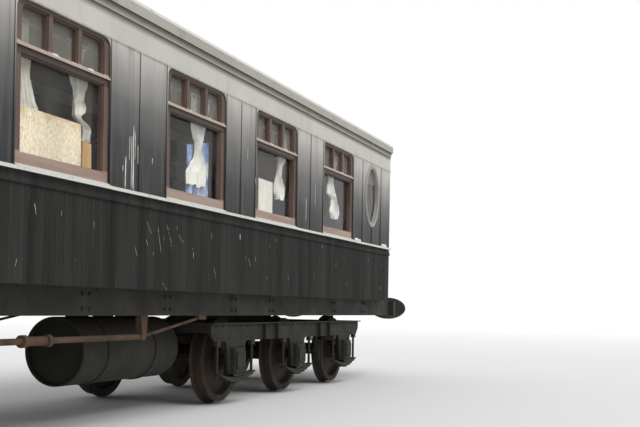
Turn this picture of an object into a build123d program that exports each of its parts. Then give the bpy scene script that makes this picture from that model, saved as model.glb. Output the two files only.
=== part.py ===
# A wooden-bodied parlour coach on two six-wheel bogies, of the 1920s British kind.
# Millimetres. X runs along the coach, Y across it and Z up. The wheels' flange tips
# stand at Z = 0. End a is at +X, end b is end a turned half round about Z, and the
# right side, at -Y, is the mirror of the left one.
from build123d import *
import os
from math import hypot, sqrt

os.makedirs("parts", exist_ok=True)

# Heights
FLANGE_DEPTH = 30
TREAD_RADIUS = 457
BODY_BOTTOM = 1210
LOWER_SIDE_HEIGHT = 814
WINDOW_ZONE = 1167
LETTERBOARD = 226
CORNICE_HEIGHT = 142
ROOF_EDGE = 25
ROOF_RISE = 276
END_ARCH_RISE = 60
FLOOR_THICK = 60

# Plan of the body
HALF_WIDTH = 1310
SIDE_HALF = 8262
END_RUN = 888
FACE_HALF = 635
SIDE_WALL = 70
END_WALL = 60
PILLAR_RADIUS = 60
PILLAR_GROOVE = 8
SEAT_GAP = 0.3

# Sides: boards under the waist, and the mouldings on them
MATCHBOARD_WIDTH = 57
GROOVE_WIDTH = 12
GROOVE_DEPTH = 4
WAIST_BOARD_HEIGHT = 120
WAIST_BOARD_LIP = 18
WAIST_BOARD_PROUD = 16
WAIST_RAIL_HEIGHT = 34
WAIST_RAIL_PROUD = 30
WAIST_RAIL_SLOPE = 10
SILL_RISE = 16
SILL_PROUD = 36
BATTEN_WIDTH = 26
BATTEN_PROUD = 8
BEAD_WIDTH = 16
BEAD_OFF = 6

# Windows and panels of a side: windows as shares of the saloon's half length, and the
# rest by their places from the corners
WINDOW_SHARES = (-0.86203, -0.56812, -0.29725, 0, 0.29725, 0.56812, 0.86203)
WINDOW_WIDTH = 1147
WINDOW_TOP_RADIUS = 90
OVAL_FROM_CORNER = 892
OVAL_WIDTH = 640
OVAL_HEIGHT = 905
OVAL_ABOVE_WAIST = 696
OVAL_RING = 55
OVAL_BEAD = 18
PANEL_EDGES_FROM_CORNER = (1322, 462)
CORNICE_PROUD = 40
CORNICE_COVE = 58
CORNICE_FOOT = 10
COVE_MIDDLE = (13, 35)
ROOF_THICK = 45

# Window frames and glass
STILE = 80
BOTTOM_RAIL = 100
HEAD_RAIL = 45
TRANSOM = 95
TRANSOM_ABOVE_WAIST = 774
MULLION = 72
MULLION_X = 181
FRAME_DEPTH = 50
FRAME_SET_BACK = 12
FRAME_GAP = 0.3
REBATE = 12
REBATE_DEPTH = 10
TRANSOM_LEDGE_OUT = 16
TRANSOM_LEDGE_HEIGHT = 28
TRANSOM_LEDGE_SLOPE = 10
GLASS_THICK = 6
GLASS_SET_BACK = 30

# Doors
DOOR_THICK = 45
DOOR_GAP = 5
DOOR_SET_BACK = 5
DOOR_SILL = 30
DOOR_LOCK_GAP = 12
ENTRANCE_WIDTH = 600
ENTRANCE_START = 230
ENTRANCE_GLASS_WIDTH = 300
ENTRANCE_GLASS_ABOVE_WAIST = 46
ENTRANCE_GLASS_HEIGHT = 980
ENTRANCE_BEAD = 18
GANGWAY_WIDTH = 900
GANGWAY_HEAD_UNDER_CANT = 97
GANGWAY_TOP_RADIUS = 90
GANGWAY_LIGHT_WIDTH = 290
GANGWAY_LIGHT_ABOVE_WAIST = 131
GANGWAY_LIGHT_Y = 240
GANGWAY_TOP_RAIL = 45
GANGWAY_BOTTOM_RAIL = 210
GANGWAY_PANEL_HEIGHT = 430
PANEL_RECESS = 12
LEDGE_HEIGHT = 30
LEDGE_PROUD = 28
LEDGE_DROP = 90
HANDLE_REACH = 60
HANDLE_ABOVE_FLOOR = 590
KNUCKLE_RADIUS = 9
KNUCKLE_HEIGHT = 60
KNUCKLE_GAP = 0.4
HINGE_OFF_WALL = 10
HINGE_LEAF = 32
HINGES_ABOVE_SILL = (200, 900, 1680)

# Skirt under each end's face, cut to an arch between two lugs
LUG_Y = 388
LUG_WIDTH = 120
LUG_DROP = 90
LUG_RADIUS = 40

# Inside
VESTIBULE_FROM_CORNER = 412
SALOON_FROM_CORNER = 1362
PARTITION_THICK = 40
CORRIDOR_HALF = 340
DOORWAY_ABOVE_HEAD = 59
TABLE_SHARE = 0.0899
TABLE_WIDTH = 640
TABLE_OFF_WALL = 1
TABLE_THICK = 35
TABLE_HEIGHT = 730
TABLE_LEG_RADIUS = 35
TABLE_FOOT_RADIUS = 130
TABLE_FOOT_HEIGHT = 60
TABLE_FOOT_EDGE = 12
CHAIR_SHARE = 0.0899
CHAIR_DEPTH_SHARE = 0.0812
CHAIR_OFF_WALL = 60
CHAIR_WIDTH = 620
CHAIR_ROUND = 45
CHAIR_SEAT_DIP = 30
CHAIR_BACK_HEIGHT = 1120
CHAIR_BACK_THICK = 170
CHAIR_BACK_TOP = 136
CHAIR_SEAT_HEIGHT = 440
CHAIR_ARM_HEIGHT = 640
CHAIR_ARM_WIDTH = 100
CHAIR_LEG = 90
CURTAIN_DEPTH = 60
CURTAIN_WIDTH = 250
CURTAIN_WAIST = 90
CURTAIN_UNDER_HEAD = 131
ROD_THICK = 16
ROD_OVERLAP = 40
CURTAIN_OFF_FRAME = 12
STORM_BOARD_WIDTH = 700
STORM_BOARD_HEIGHT = 320
STORM_BOARD_X = -180

# Underframe
SOLEBAR_FROM_SIDE = 210
SOLEBAR_HEIGHT = 230
SOLEBAR_FLANGE = 80
SOLEBAR_WEB = 14
HEADSTOCK_THICK = 100
HEADSTOCK_FROM_SIDE = 130
CROSS_HEIGHT = 180
CROSS_WIDTH = 70
CROSS_SHARES = (0.0656, 0.2077, 0.3607, 0.47, 0.6995, 0.8415)
CENTRE_BEAM_Y = 300
CENTRE_BEAM_WIDTH = 70
PIVOT_FROM_FACE = 3800
BODY_BOLSTER_WIDTH = 360
BODY_BOLSTER_FLAT = 420
BODY_BOLSTER_END = 90
CENTRE_PLATE_RADIUS = 210
CENTRE_PLATE_DROP = 30
CENTRE_PLATE_GAP = 0.3
TRUSS_END_FROM_BOGIE = 370
TRUSS_SLOPE_RUN = 1100
TRUSS_DROP = 220
TRUSS_WIDTH = 60
TRUSS_TIE_RADIUS = 25
TRUSS_SLOPE_RADIUS = 14
TRUSS_POST_TOP = 120
TRUSS_POST_FOOT = 60
TURNBUCKLE_LENGTH = 340
TURNBUCKLE_RADIUS = 36
TURNBUCKLE_NUT_RADIUS = 48
TURNBUCKLE_NUT_LENGTH = 50
TANK_RADIUS = 310
TANK_Y = 430
TANK_DROP = 20
TANK_START = 1100
TANK_FROM_BOGIE = 220
TANK_RIM = 16
TANK_RECESS = 34
TANK_DISH = 30
STRAP_WIDTH = 60
STRAP_THICK = 10
BATTERY_LENGTH = 1700
BATTERY_DEPTH = 560
BATTERY_HEIGHT = 460
BATTERY_X = -150
BATTERY_OFF_TRUSS = 8
BATTERY_DOOR_MARGIN = 50
BATTERY_DOOR_RECESS = 8

# Buffers and draw gear
BUFFER_Y = 870
BUFFER_REACH = 575
BUFFER_HEAD_WIDTH = 620
BUFFER_HEAD_HEIGHT = 360
BUFFER_HEAD_EDGE = 15
BUFFER_HEAD_SECTIONS = ((1.0, 1.0, 25), (0.84, 0.8, 9), (0.52, 0.5, 0))
BUFFER_RAM_RADIUS = 55
BUFFER_PLATE_WIDTH = 300
BUFFER_PLATE_THICK = 20
BUFFER_HOUSING_RADIUS = 120
BUFFER_MOUTH_RADIUS = 92
BUFFER_COLLAR_RADIUS = 102
BUFFER_COLLAR_LENGTH = 40
BUFFER_HOUSING_LENGTH = 400
HOOK_THICK = 60
HOOK_REACH = 300
HOOK_SHANK = 90
HOOK_MOUTH = 94
HOOK_BAR = 38
HOOK_NOSE = 112
COUPLING_FROM_HEADSTOCK = 95
COUPLING_HALF_WIDTH = 55
COUPLING_PIN_RADIUS = 18
STRAP_LINK_LENGTH = 170
STRAP_LINK_WIDTH = 56
STRAP_LINK_THICK = 16
SCREW_RADIUS = 19
SCREW_LENGTH = 236
NUT_RADIUS = 32
NUT_HALF_LENGTH = 38
LOWER_NUT_DROP = 350
BOW_DROP = 90
BOW_RADIUS = 15

# Bogies
AXLE_SPACING = 1780
BACK_TO_BACK = 1360
RIM_WIDTH = 135
FLANGE_WIDTH = 32
FLANGE_ROUND = 10
RIM_INNER_RADIUS = 390
RIM_SHOULDER = 16
WEB_THICK = 28
WEB_DISH = 16
HUB_RADIUS = 115
HUB_LENGTH = 180
AXLE_RADIUS = 82
JOURNAL_RADIUS = 62
JOURNAL_GAP = 0.06
JOURNAL_END_GAP = 1
JOURNAL_PAST_MIDDLE = 50
AXLEBOX_Y = 990
AXLEBOX_WIDTH = 230
AXLEBOX_HEIGHT = 270
AXLEBOX_DEPTH = 150
AXLEBOX_ROUND = 30
AXLEBOX_GAP = 0.3
AXLEBOX_COVER = 34
AXLEBOX_COVER_PROUD = 14
FRAME_PLATE = 30
FRAME_OVERHANG = 600
FRAME_UNDER_PLATE = 100
FRAME_WAIST_ABOVE_AXLE = 213
FRAME_END_CUT = 90
FRAME_KNEE_RADIUS = 60
FRAME_FLANGE = 45
FRAME_FLANGE_THICK = 14
RIB_OFFSET = 180
RIB_THICK = 12
HORN_TOP_WIDTH = 480
HORN_FOOT_WIDTH = 340
HORN_BELOW_BOX = 10
CHEEK_THICK = 22
CHEEK_DEPTH = 130
KEEP_WIDTH = 13
KEEP_THICK = 20
TRANSOM_WIDTH = 180
TRANSOM_PLATE = 20
BEAM_THICK = 60
BEAM_HALF_WIDTH = 260
BEAM_END_WIDTH = 300
ARM_HALF_LENGTH = 640
ARM_END_WIDTH = 180
SIDE_BEARER_Y = 560
SIDE_BEARER_RADIUS = 65
SIDE_BEARER_HEIGHT = 50
LEAF_HALF_LENGTHS = (450, 360, 270, 180)
LEAF_THICK = 14
LEAF_WIDTH = 90
SPRING_CAMBER = 50
SPRING_UNDER_BOX = 45
BUCKLE_DEPTH = 100
SPRING_HANGER_X = 430
HANGER_RADIUS = 16
HANGER_NUT_RADIUS = 28
HANGER_NUT_HEIGHT = 24
HANGER_BRACKET = 90
HANGER_BRACKET_HEIGHT = 50
SHOE_GAP = 8
SHOE_THICK = 50
SHOE_WIDTH = 80
SHOE_HALF_HEIGHT = 150
BEAM_INTO_SHOE = 8
BRAKE_SHAFT_ABOVE_WAIST = 90
BRAKE_SHAFT_RADIUS = 22

# Levels and lengths that follow from them
FACE_X = SIDE_HALF + END_RUN
SALOON_HALF = SIDE_HALF - SALOON_FROM_CORNER
WINDOW_XS = [share * SALOON_HALF for share in WINDOW_SHARES]
OVAL_X = SIDE_HALF - OVAL_FROM_CORNER
PANEL_EDGE_XS = [SIDE_HALF - run for run in PANEL_EDGES_FROM_CORNER]
PIER_XS = [(low + high) / 2 for low, high in zip(WINDOW_XS[:-1], WINDOW_XS[1:])]
INNER_Y = HALF_WIDTH - SIDE_WALL
AXLE_Z = FLANGE_DEPTH + TREAD_RADIUS
FLANGE_RADIUS = TREAD_RADIUS + FLANGE_DEPTH
FLOOR_TOP = BODY_BOTTOM + FLOOR_THICK
WAIST_Z = BODY_BOTTOM + LOWER_SIDE_HEIGHT
HEAD_Z = WAIST_Z + WINDOW_ZONE
CANT_Z = HEAD_Z + LETTERBOARD
EAVES_Z = CANT_Z + CORNICE_HEIGHT
OVAL_Z = WAIST_Z + OVAL_ABOVE_WAIST
CROWN_Z = EAVES_Z + ROOF_EDGE + ROOF_RISE
CEILING_RISE = ROOF_EDGE + ROOF_RISE - ROOF_THICK
CANT_IN = HALF_WIDTH - FACE_HALF
CANT_LENGTH = hypot(END_RUN, CANT_IN)
ROOF_HALF_WIDTH = HALF_WIDTH + CORNICE_PROUD
CORNER_ALONG = (END_RUN / CANT_LENGTH, CANT_IN / CANT_LENGTH, 0)
CORNER_OUT = (CANT_IN / CANT_LENGTH, -END_RUN / CANT_LENGTH, 0)
DOOR_BOTTOM = FLOOR_TOP + DOOR_SILL
ENTRANCE_GLASS_BOTTOM = WAIST_Z + ENTRANCE_GLASS_ABOVE_WAIST
GANGWAY_HEAD = CANT_Z - GANGWAY_HEAD_UNDER_CANT
GANGWAY_LIGHT_BOTTOM = WAIST_Z + GANGWAY_LIGHT_ABOVE_WAIST
GANGWAY_LIGHT_HEIGHT = GANGWAY_HEAD - GANGWAY_TOP_RAIL - GANGWAY_LIGHT_BOTTOM
GANGWAY_PANEL_BOTTOM = DOOR_BOTTOM + GANGWAY_BOTTOM_RAIL
HANDLE_Z = FLOOR_TOP + HANDLE_ABOVE_FLOOR
HINGE_HEIGHTS = [DOOR_BOTTOM + height for height in HINGES_ABOVE_SILL]
DOORWAY_HEAD = HEAD_Z + DOORWAY_ABOVE_HEAD
SALOON_PARTITION_X = SALOON_HALF
VESTIBULE_PARTITION_X = SIDE_HALF - VESTIBULE_FROM_CORNER
TABLE_LENGTH = TABLE_SHARE * SALOON_HALF
CHAIR_FROM_TABLE = CHAIR_SHARE * SALOON_HALF
CHAIR_DEPTH = CHAIR_DEPTH_SHARE * SALOON_HALF
CURTAIN_TOP = HEAD_Z - CURTAIN_UNDER_HEAD
SOLEBAR_Y = HALF_WIDTH - SOLEBAR_FROM_SIDE
SOLEBAR_BOTTOM = BODY_BOTTOM - SOLEBAR_HEIGHT
CROSS_BOTTOM = BODY_BOTTOM - CROSS_HEIGHT
CROSS_XS = [share * FACE_X for share in CROSS_SHARES]
HEADSTOCK_FRONT = FACE_X - END_WALL - SEAT_GAP
HEADSTOCK_BACK = HEADSTOCK_FRONT - HEADSTOCK_THICK
HEADSTOCK_HALF = HALF_WIDTH - HEADSTOCK_FROM_SIDE
BUFFER_Z = SOLEBAR_BOTTOM + SOLEBAR_HEIGHT / 2
BUFFER_FACE_X = FACE_X + BUFFER_REACH
WHEEL_INNER_Y = BACK_TO_BACK / 2
AXLE_OFFSETS = (-AXLE_SPACING, 0, AXLE_SPACING)
PIVOT_X = FACE_X - PIVOT_FROM_FACE
FRAME_HALF_LENGTH = AXLE_SPACING + FRAME_OVERHANG
BOGIE_INNER_END = PIVOT_X - FRAME_HALF_LENGTH
CENTRE_PLATE_Z = CROSS_BOTTOM - CENTRE_PLATE_DROP
FRAME_TOP = CENTRE_PLATE_Z - FRAME_UNDER_PLATE
FRAME_WAIST = AXLE_Z + FRAME_WAIST_ABOVE_AXLE
TRUSS_END_X = BOGIE_INNER_END - TRUSS_END_FROM_BOGIE
TRUSS_POST_X = TRUSS_END_X - TRUSS_SLOPE_RUN
TRUSS_Z = SOLEBAR_BOTTOM - TRUSS_DROP
TANK_Z = SOLEBAR_BOTTOM - TANK_DROP - TANK_RADIUS
TANK_LENGTH = BOGIE_INNER_END - TANK_FROM_BOGIE - TANK_START


def keep(piece, node):
    """Label a finished piece and write it under its node's name."""
    piece.part.label = node
    export_step(piece.part, f"parts/{node}.step")


def mirrored(piece):
    """The same piece on the other side of the coach."""
    with BuildPart() as other:
        mirror(piece.part, about=Plane.XZ)
    return other


def turned(piece):
    """The same piece at the other end of the coach."""
    with BuildPart() as other:
        add(piece.part, rotation=(0, 0, 180))
    return other


def round_topped(width, height, radius):
    """A light or doorway standing on its base line, with both upper corners rounded."""
    with BuildSketch() as outline:
        Rectangle(width, height, align=(Align.CENTER, Align.MIN))
        fillet(outline.vertices().group_by(Axis.Y)[-1], radius)
    return outline.sketch


def body_plan(inset):
    """The body's plan with its canted ends, inset from the outer faces."""
    corner_x = SIDE_HALF
    with BuildSketch() as plan:
        with BuildLine():
            Polyline(
                (-corner_x, -HALF_WIDTH),
                (corner_x, -HALF_WIDTH),
                (FACE_X, -FACE_HALF),
                (FACE_X, FACE_HALF),
                (corner_x, HALF_WIDTH),
                (-corner_x, HALF_WIDTH),
                (-FACE_X, FACE_HALF),
                (-FACE_X, -FACE_HALF),
                close=True,
            )
        make_face()
        face_corners = plan.vertices().filter_by(lambda v: abs(v.X) > FACE_X - 1)
        fillet(face_corners, PILLAR_RADIUS)
        if inset:
            offset(amount=-inset, mode=Mode.REPLACE)
    return plan.sketch


# The outer face of the canted wall at end a, right side: X along it, Y up, Z out.
CANT_PLANE = Plane(
    origin=(SIDE_HALF, -HALF_WIDTH, 0), x_dir=CORNER_ALONG, z_dir=CORNER_OUT
)
# The outer face of end a: X across the coach to the left, Y up, Z out.
FACE_PLANE = Plane(origin=(FACE_X, 0, 0), x_dir=(0, 1, 0), z_dir=(1, 0, 0))
RIGHT_SIDE_PLANE = Plane.XZ.offset(HALF_WIDTH)


# Lower side: matchboards with a groove at each joint, and a hollow moulding over them.
BOARD_COUNT = round(2 * SIDE_HALF / MATCHBOARD_WIDTH)
BOARD_PITCH = 2 * SIDE_HALF / BOARD_COUNT
BOARDS_TOP = WAIST_Z - WAIST_BOARD_HEIGHT
boarded_line = [(-SIDE_HALF, -INNER_Y), (-SIDE_HALF, -HALF_WIDTH)]
for joint in range(1, BOARD_COUNT):
    joint_x = -SIDE_HALF + joint * BOARD_PITCH
    boarded_line += [
        (joint_x - GROOVE_WIDTH / 2, -HALF_WIDTH),
        (joint_x, -HALF_WIDTH + GROOVE_DEPTH),
        (joint_x + GROOVE_WIDTH / 2, -HALF_WIDTH),
    ]
boarded_line += [(SIDE_HALF, -HALF_WIDTH), (SIDE_HALF, -INNER_Y)]
with BuildPart() as lower_side_right:
    with BuildSketch(Plane.XY.offset(BODY_BOTTOM)):
        with BuildLine():
            Polyline(*boarded_line, close=True)
        make_face()
    extrude(amount=BOARDS_TOP - BODY_BOTTOM)
    with BuildSketch(Plane.YZ.offset(-SIDE_HALF)):
        with BuildLine():
            lip_y = -HALF_WIDTH - WAIST_BOARD_PROUD
            rail_foot = WAIST_Z - WAIST_RAIL_HEIGHT
            hollow = ThreePointArc(
                (lip_y, BOARDS_TOP + WAIST_BOARD_LIP),
                (-HALF_WIDTH - WAIST_BOARD_PROUD / 3, (BOARDS_TOP + rail_foot) / 2),
                (-HALF_WIDTH, rail_foot),
            )
            Polyline(
                hollow @ 1,
                (-HALF_WIDTH, WAIST_Z),
                (-INNER_Y, WAIST_Z),
                (-INNER_Y, BOARDS_TOP),
                (lip_y, BOARDS_TOP),
                hollow @ 0,
            )
        make_face()
    extrude(amount=2 * SIDE_HALF)
keep(lower_side_right, "lower_side_right")
keep(mirrored(lower_side_right), "lower_side_left")

# Waist rail: a white rail along the whole side, with a thicker sill under each window.
SILL_LENGTH = WINDOW_WIDTH - 2 * FRAME_GAP
SILL_BACK_Y = -HALF_WIDTH + FRAME_SET_BACK - FRAME_GAP
with BuildPart() as waist_rails:
    rail_foot = WAIST_Z - WAIST_RAIL_HEIGHT
    with BuildSketch(Plane.YZ.offset(-SIDE_HALF)):
        with BuildLine():
            Polyline(
                (-HALF_WIDTH, rail_foot),
                (-HALF_WIDTH - WAIST_RAIL_PROUD, rail_foot),
                (-HALF_WIDTH - WAIST_RAIL_PROUD, WAIST_Z - WAIST_RAIL_SLOPE),
                (-HALF_WIDTH, WAIST_Z),
                close=True,
            )
        make_face()
    extrude(amount=2 * SIDE_HALF)
    for window_x in WINDOW_XS:
        with BuildSketch(Plane.YZ.offset(window_x - SILL_LENGTH / 2)):
            with BuildLine():
                Polyline(
                    (SILL_BACK_Y, WAIST_Z),
                    (SILL_BACK_Y, WAIST_Z + SILL_RISE),
                    (-HALF_WIDTH - SILL_PROUD, WAIST_Z - WAIST_RAIL_SLOPE),
                    (-HALF_WIDTH - SILL_PROUD, rail_foot),
                    (-HALF_WIDTH, rail_foot),
                    (-HALF_WIDTH, WAIST_Z),
                    close=True,
                )
            make_face()
        extrude(amount=SILL_LENGTH)
    mirror(about=Plane.XZ)
keep(waist_rails, "waist_rails")

# Upper side: the panelled wall with its window openings, ovals, battens and beads.
batten_xs = PIER_XS + [side * x for side in (-1, 1) for x in PANEL_EDGE_XS]
bead_out = WINDOW_WIDTH / 2 + BEAD_OFF + BEAD_WIDTH / 2
bead_xs = [x + side * bead_out for x in WINDOW_XS for side in (-1, 1)]
with BuildPart() as upper_side_right:
    with BuildSketch(RIGHT_SIDE_PLANE):
        with Locations((0, WAIST_Z)):
            Rectangle(2 * SIDE_HALF, CANT_Z - WAIST_Z, align=(Align.CENTER, Align.MIN))
    extrude(amount=-SIDE_WALL)
    with BuildSketch(RIGHT_SIDE_PLANE):
        with Locations(*[(x, WAIST_Z) for x in batten_xs]):
            Rectangle(BATTEN_WIDTH, WINDOW_ZONE, align=(Align.CENTER, Align.MIN))
        with Locations(*[(x, WAIST_Z) for x in bead_xs]):
            Rectangle(BEAD_WIDTH, WINDOW_ZONE, align=(Align.CENTER, Align.MIN))
        with Locations((-OVAL_X, WAIST_Z), (OVAL_X, WAIST_Z)):
            Rectangle(BATTEN_WIDTH, OVAL_ABOVE_WAIST, align=(Align.CENTER, Align.MIN))
        with Locations((0, HEAD_Z)):
            Rectangle(2 * SIDE_HALF, BATTEN_WIDTH, align=(Align.CENTER, Align.MIN))
    extrude(amount=BATTEN_PROUD)
    with BuildSketch(RIGHT_SIDE_PLANE.offset(BATTEN_PROUD)):
        with Locations(*[(x, WAIST_Z) for x in WINDOW_XS]):
            add(round_topped(WINDOW_WIDTH, WINDOW_ZONE, WINDOW_TOP_RADIUS))
        with Locations((-OVAL_X, OVAL_Z), (OVAL_X, OVAL_Z)):
            Ellipse(OVAL_WIDTH / 2, OVAL_HEIGHT / 2)
    extrude(amount=-SIDE_WALL - 2 * BATTEN_PROUD, mode=Mode.SUBTRACT)
keep(upper_side_right, "upper_side_right")
keep(mirrored(upper_side_right), "upper_side_left")

# Cornices: a hollow under the gutter's band, over each side.
with BuildPart() as cornices:
    with BuildSketch(Plane.YZ.offset(-SIDE_HALF)):
        with BuildLine():
            cove_top = CANT_Z + CORNICE_COVE
            cove = ThreePointArc(
                (-HALF_WIDTH - CORNICE_FOOT, CANT_Z + CORNICE_FOOT),
                (-HALF_WIDTH - COVE_MIDDLE[0], CANT_Z + COVE_MIDDLE[1]),
                (-HALF_WIDTH - 2 * CORNICE_FOOT, cove_top),
            )
            Polyline(
                cove @ 1,
                (-HALF_WIDTH - CORNICE_PROUD, cove_top),
                (-HALF_WIDTH - CORNICE_PROUD, EAVES_Z),
                (-INNER_Y, EAVES_Z),
                (-INNER_Y, CANT_Z),
                (-HALF_WIDTH - CORNICE_FOOT, CANT_Z),
                cove @ 0,
            )
        make_face()
    extrude(amount=2 * SIDE_HALF)
    mirror(about=Plane.XZ)
keep(cornices, "cornices")


# Roof: a shell along the sides, and at each end a dome that narrows to the end's face.
def roof_section(x, half_width, rise):
    """A cross-section of the roof, closed along the eaves."""
    with BuildSketch(Plane.YZ.offset(x)) as section:
        with BuildLine():
            Line((-half_width, EAVES_Z), (half_width, EAVES_Z))
            Line((half_width, EAVES_Z), (half_width, EAVES_Z + ROOF_EDGE))
            ThreePointArc(
                (half_width, EAVES_Z + ROOF_EDGE),
                (0, EAVES_Z + ROOF_EDGE + rise),
                (-half_width, EAVES_Z + ROOF_EDGE),
            )
            Line((-half_width, EAVES_Z + ROOF_EDGE), (-half_width, EAVES_Z))
        make_face()
    return section.sketch


# Where each section of the dome stands, as a share of the way to the face
DOME_SHARES = (0, 0.35, 0.62, 0.82, 1)
END_FLATNESS = 1 - (END_ARCH_RISE / ROOF_RISE) ** 2

with BuildPart() as roof:
    add(
        extrude(
            roof_section(-SIDE_HALF, ROOF_HALF_WIDTH, ROOF_RISE),
            amount=2 * SIDE_HALF,
            mode=Mode.PRIVATE,
        )
    )
    with BuildSketch(Plane.YZ.offset(-SIDE_HALF)):
        with BuildLine():
            Line((-INNER_Y, EAVES_Z), (INNER_Y, EAVES_Z))
            ThreePointArc(
                (INNER_Y, EAVES_Z), (0, EAVES_Z + CEILING_RISE), (-INNER_Y, EAVES_Z)
            )
        make_face()
    extrude(amount=2 * SIDE_HALF, mode=Mode.SUBTRACT)
    sections = []
    for share in DOME_SHARES:
        sections.append(
            roof_section(
                SIDE_HALF + share * (FACE_X + CORNICE_PROUD - SIDE_HALF),
                ROOF_HALF_WIDTH - share * (HALF_WIDTH - FACE_HALF),
                ROOF_RISE * sqrt(1 - END_FLATNESS * share**2),
            )
        )
    dome = loft(sections, ruled=True, mode=Mode.PRIVATE)
    with BuildSketch(Plane.YZ.offset(SIDE_HALF)) as under_arch:
        with BuildLine():
            Line((-HALF_WIDTH, EAVES_Z), (HALF_WIDTH, EAVES_Z))
            ThreePointArc(
                (HALF_WIDTH, EAVES_Z), (0, EAVES_Z + END_ARCH_RISE), (-HALF_WIDTH, EAVES_Z)
            )
        make_face()
    arch = extrude(
        under_arch.sketch, amount=FACE_X + 2 * CORNICE_PROUD - SIDE_HALF, mode=Mode.PRIVATE
    )
    end_dome = dome - arch
    add(end_dome)
    add(end_dome, rotation=(0, 0, 180))
keep(roof, "roof")

# Roof fittings: torpedo vents over the battens and, over each end, a board on brackets.
VENT_RADIUS = 75
VENT_LENGTH = 300
VENT_BARREL_HALF = 70
VENT_END_RADIUS = 42
VENT_HOOD_RADIUS = 58
VENT_HOOD_THICK = 14
VENT_STALK = 60
END_BOARD_FROM_FACE = 130
END_BOARD_WIDTH = 820
END_BOARD_DEPTH = 240
END_BOARD_THICK = 40
END_BOARD_LIP = 14
END_BOARD_UNDER_CROWN = 10
BRACKET_Y = 250
BRACKET_THICK = 40
BRACKET_TOP = 190
BRACKET_FOOT = 110

vent_xs = PIER_XS + [side * PANEL_EDGE_XS[0] for side in (-1, 1)]
with BuildPart() as vent:
    with BuildSketch(Plane.XZ):
        with BuildLine():
            half = VENT_LENGTH / 2
            hood = half - VENT_HOOD_THICK
            Polyline(
                (-hood, VENT_END_RADIUS),
                (-VENT_BARREL_HALF, VENT_RADIUS),
                (VENT_BARREL_HALF, VENT_RADIUS),
                (hood, VENT_END_RADIUS),
                (hood, VENT_HOOD_RADIUS),
                (half, VENT_HOOD_RADIUS),
                (half, 0),
                (-half, 0),
                (-half, VENT_HOOD_RADIUS),
                (-hood, VENT_HOOD_RADIUS),
                close=True,
            )
        make_face()
    revolve(axis=Axis.X)
    with BuildSketch(Plane.XY.offset(-VENT_RADIUS - VENT_STALK)):
        Circle(VENT_RADIUS / 2)
    extrude(amount=VENT_RADIUS + VENT_STALK)
with BuildPart() as roof_vents:
    vent_z = CROWN_Z + VENT_STALK + VENT_RADIUS / 2
    with Locations(*[(x, 0, vent_z) for x in vent_xs]):
        add(vent.part)
    add(roof.part, mode=Mode.SUBTRACT)
keep(roof_vents, "roof_vents")

with BuildPart() as end_board_a:
    board_x = FACE_X - END_BOARD_FROM_FACE
    board_z = CROWN_Z - END_BOARD_UNDER_CROWN
    with BuildSketch(Plane.XY.offset(board_z)):
        with Locations((board_x, 0)):
            Rectangle(END_BOARD_DEPTH, END_BOARD_WIDTH)
    extrude(amount=END_BOARD_THICK)
    with BuildSketch(Plane.XY.offset(board_z)):
        with Locations((board_x + END_BOARD_DEPTH / 2 - END_BOARD_LIP, 0)):
            Rectangle(2 * END_BOARD_LIP, END_BOARD_WIDTH)
    extrude(amount=-END_BOARD_LIP)
    for bracket_y in (-BRACKET_Y, BRACKET_Y):
        with BuildSketch(Plane.XZ.offset(-bracket_y - BRACKET_THICK / 2)):
            with BuildLine():
                Polyline(
                    (board_x - BRACKET_TOP / 2, board_z),
                    (board_x + BRACKET_TOP / 2, board_z),
                    (board_x + BRACKET_FOOT / 2, EAVES_Z + END_ARCH_RISE),
                    (board_x - BRACKET_FOOT / 2, EAVES_Z + END_ARCH_RISE),
                    close=True,
                )
            make_face()
        extrude(amount=BRACKET_THICK)
    add(roof.part, mode=Mode.SUBTRACT)
with BuildPart() as roof_end_boards:
    board_solid = end_board_a.solids().sort_by(Axis.Z)[-1]
    add(board_solid)
    add(board_solid, rotation=(0, 0, 180))
keep(roof_end_boards, "roof_end_boards")

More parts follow.
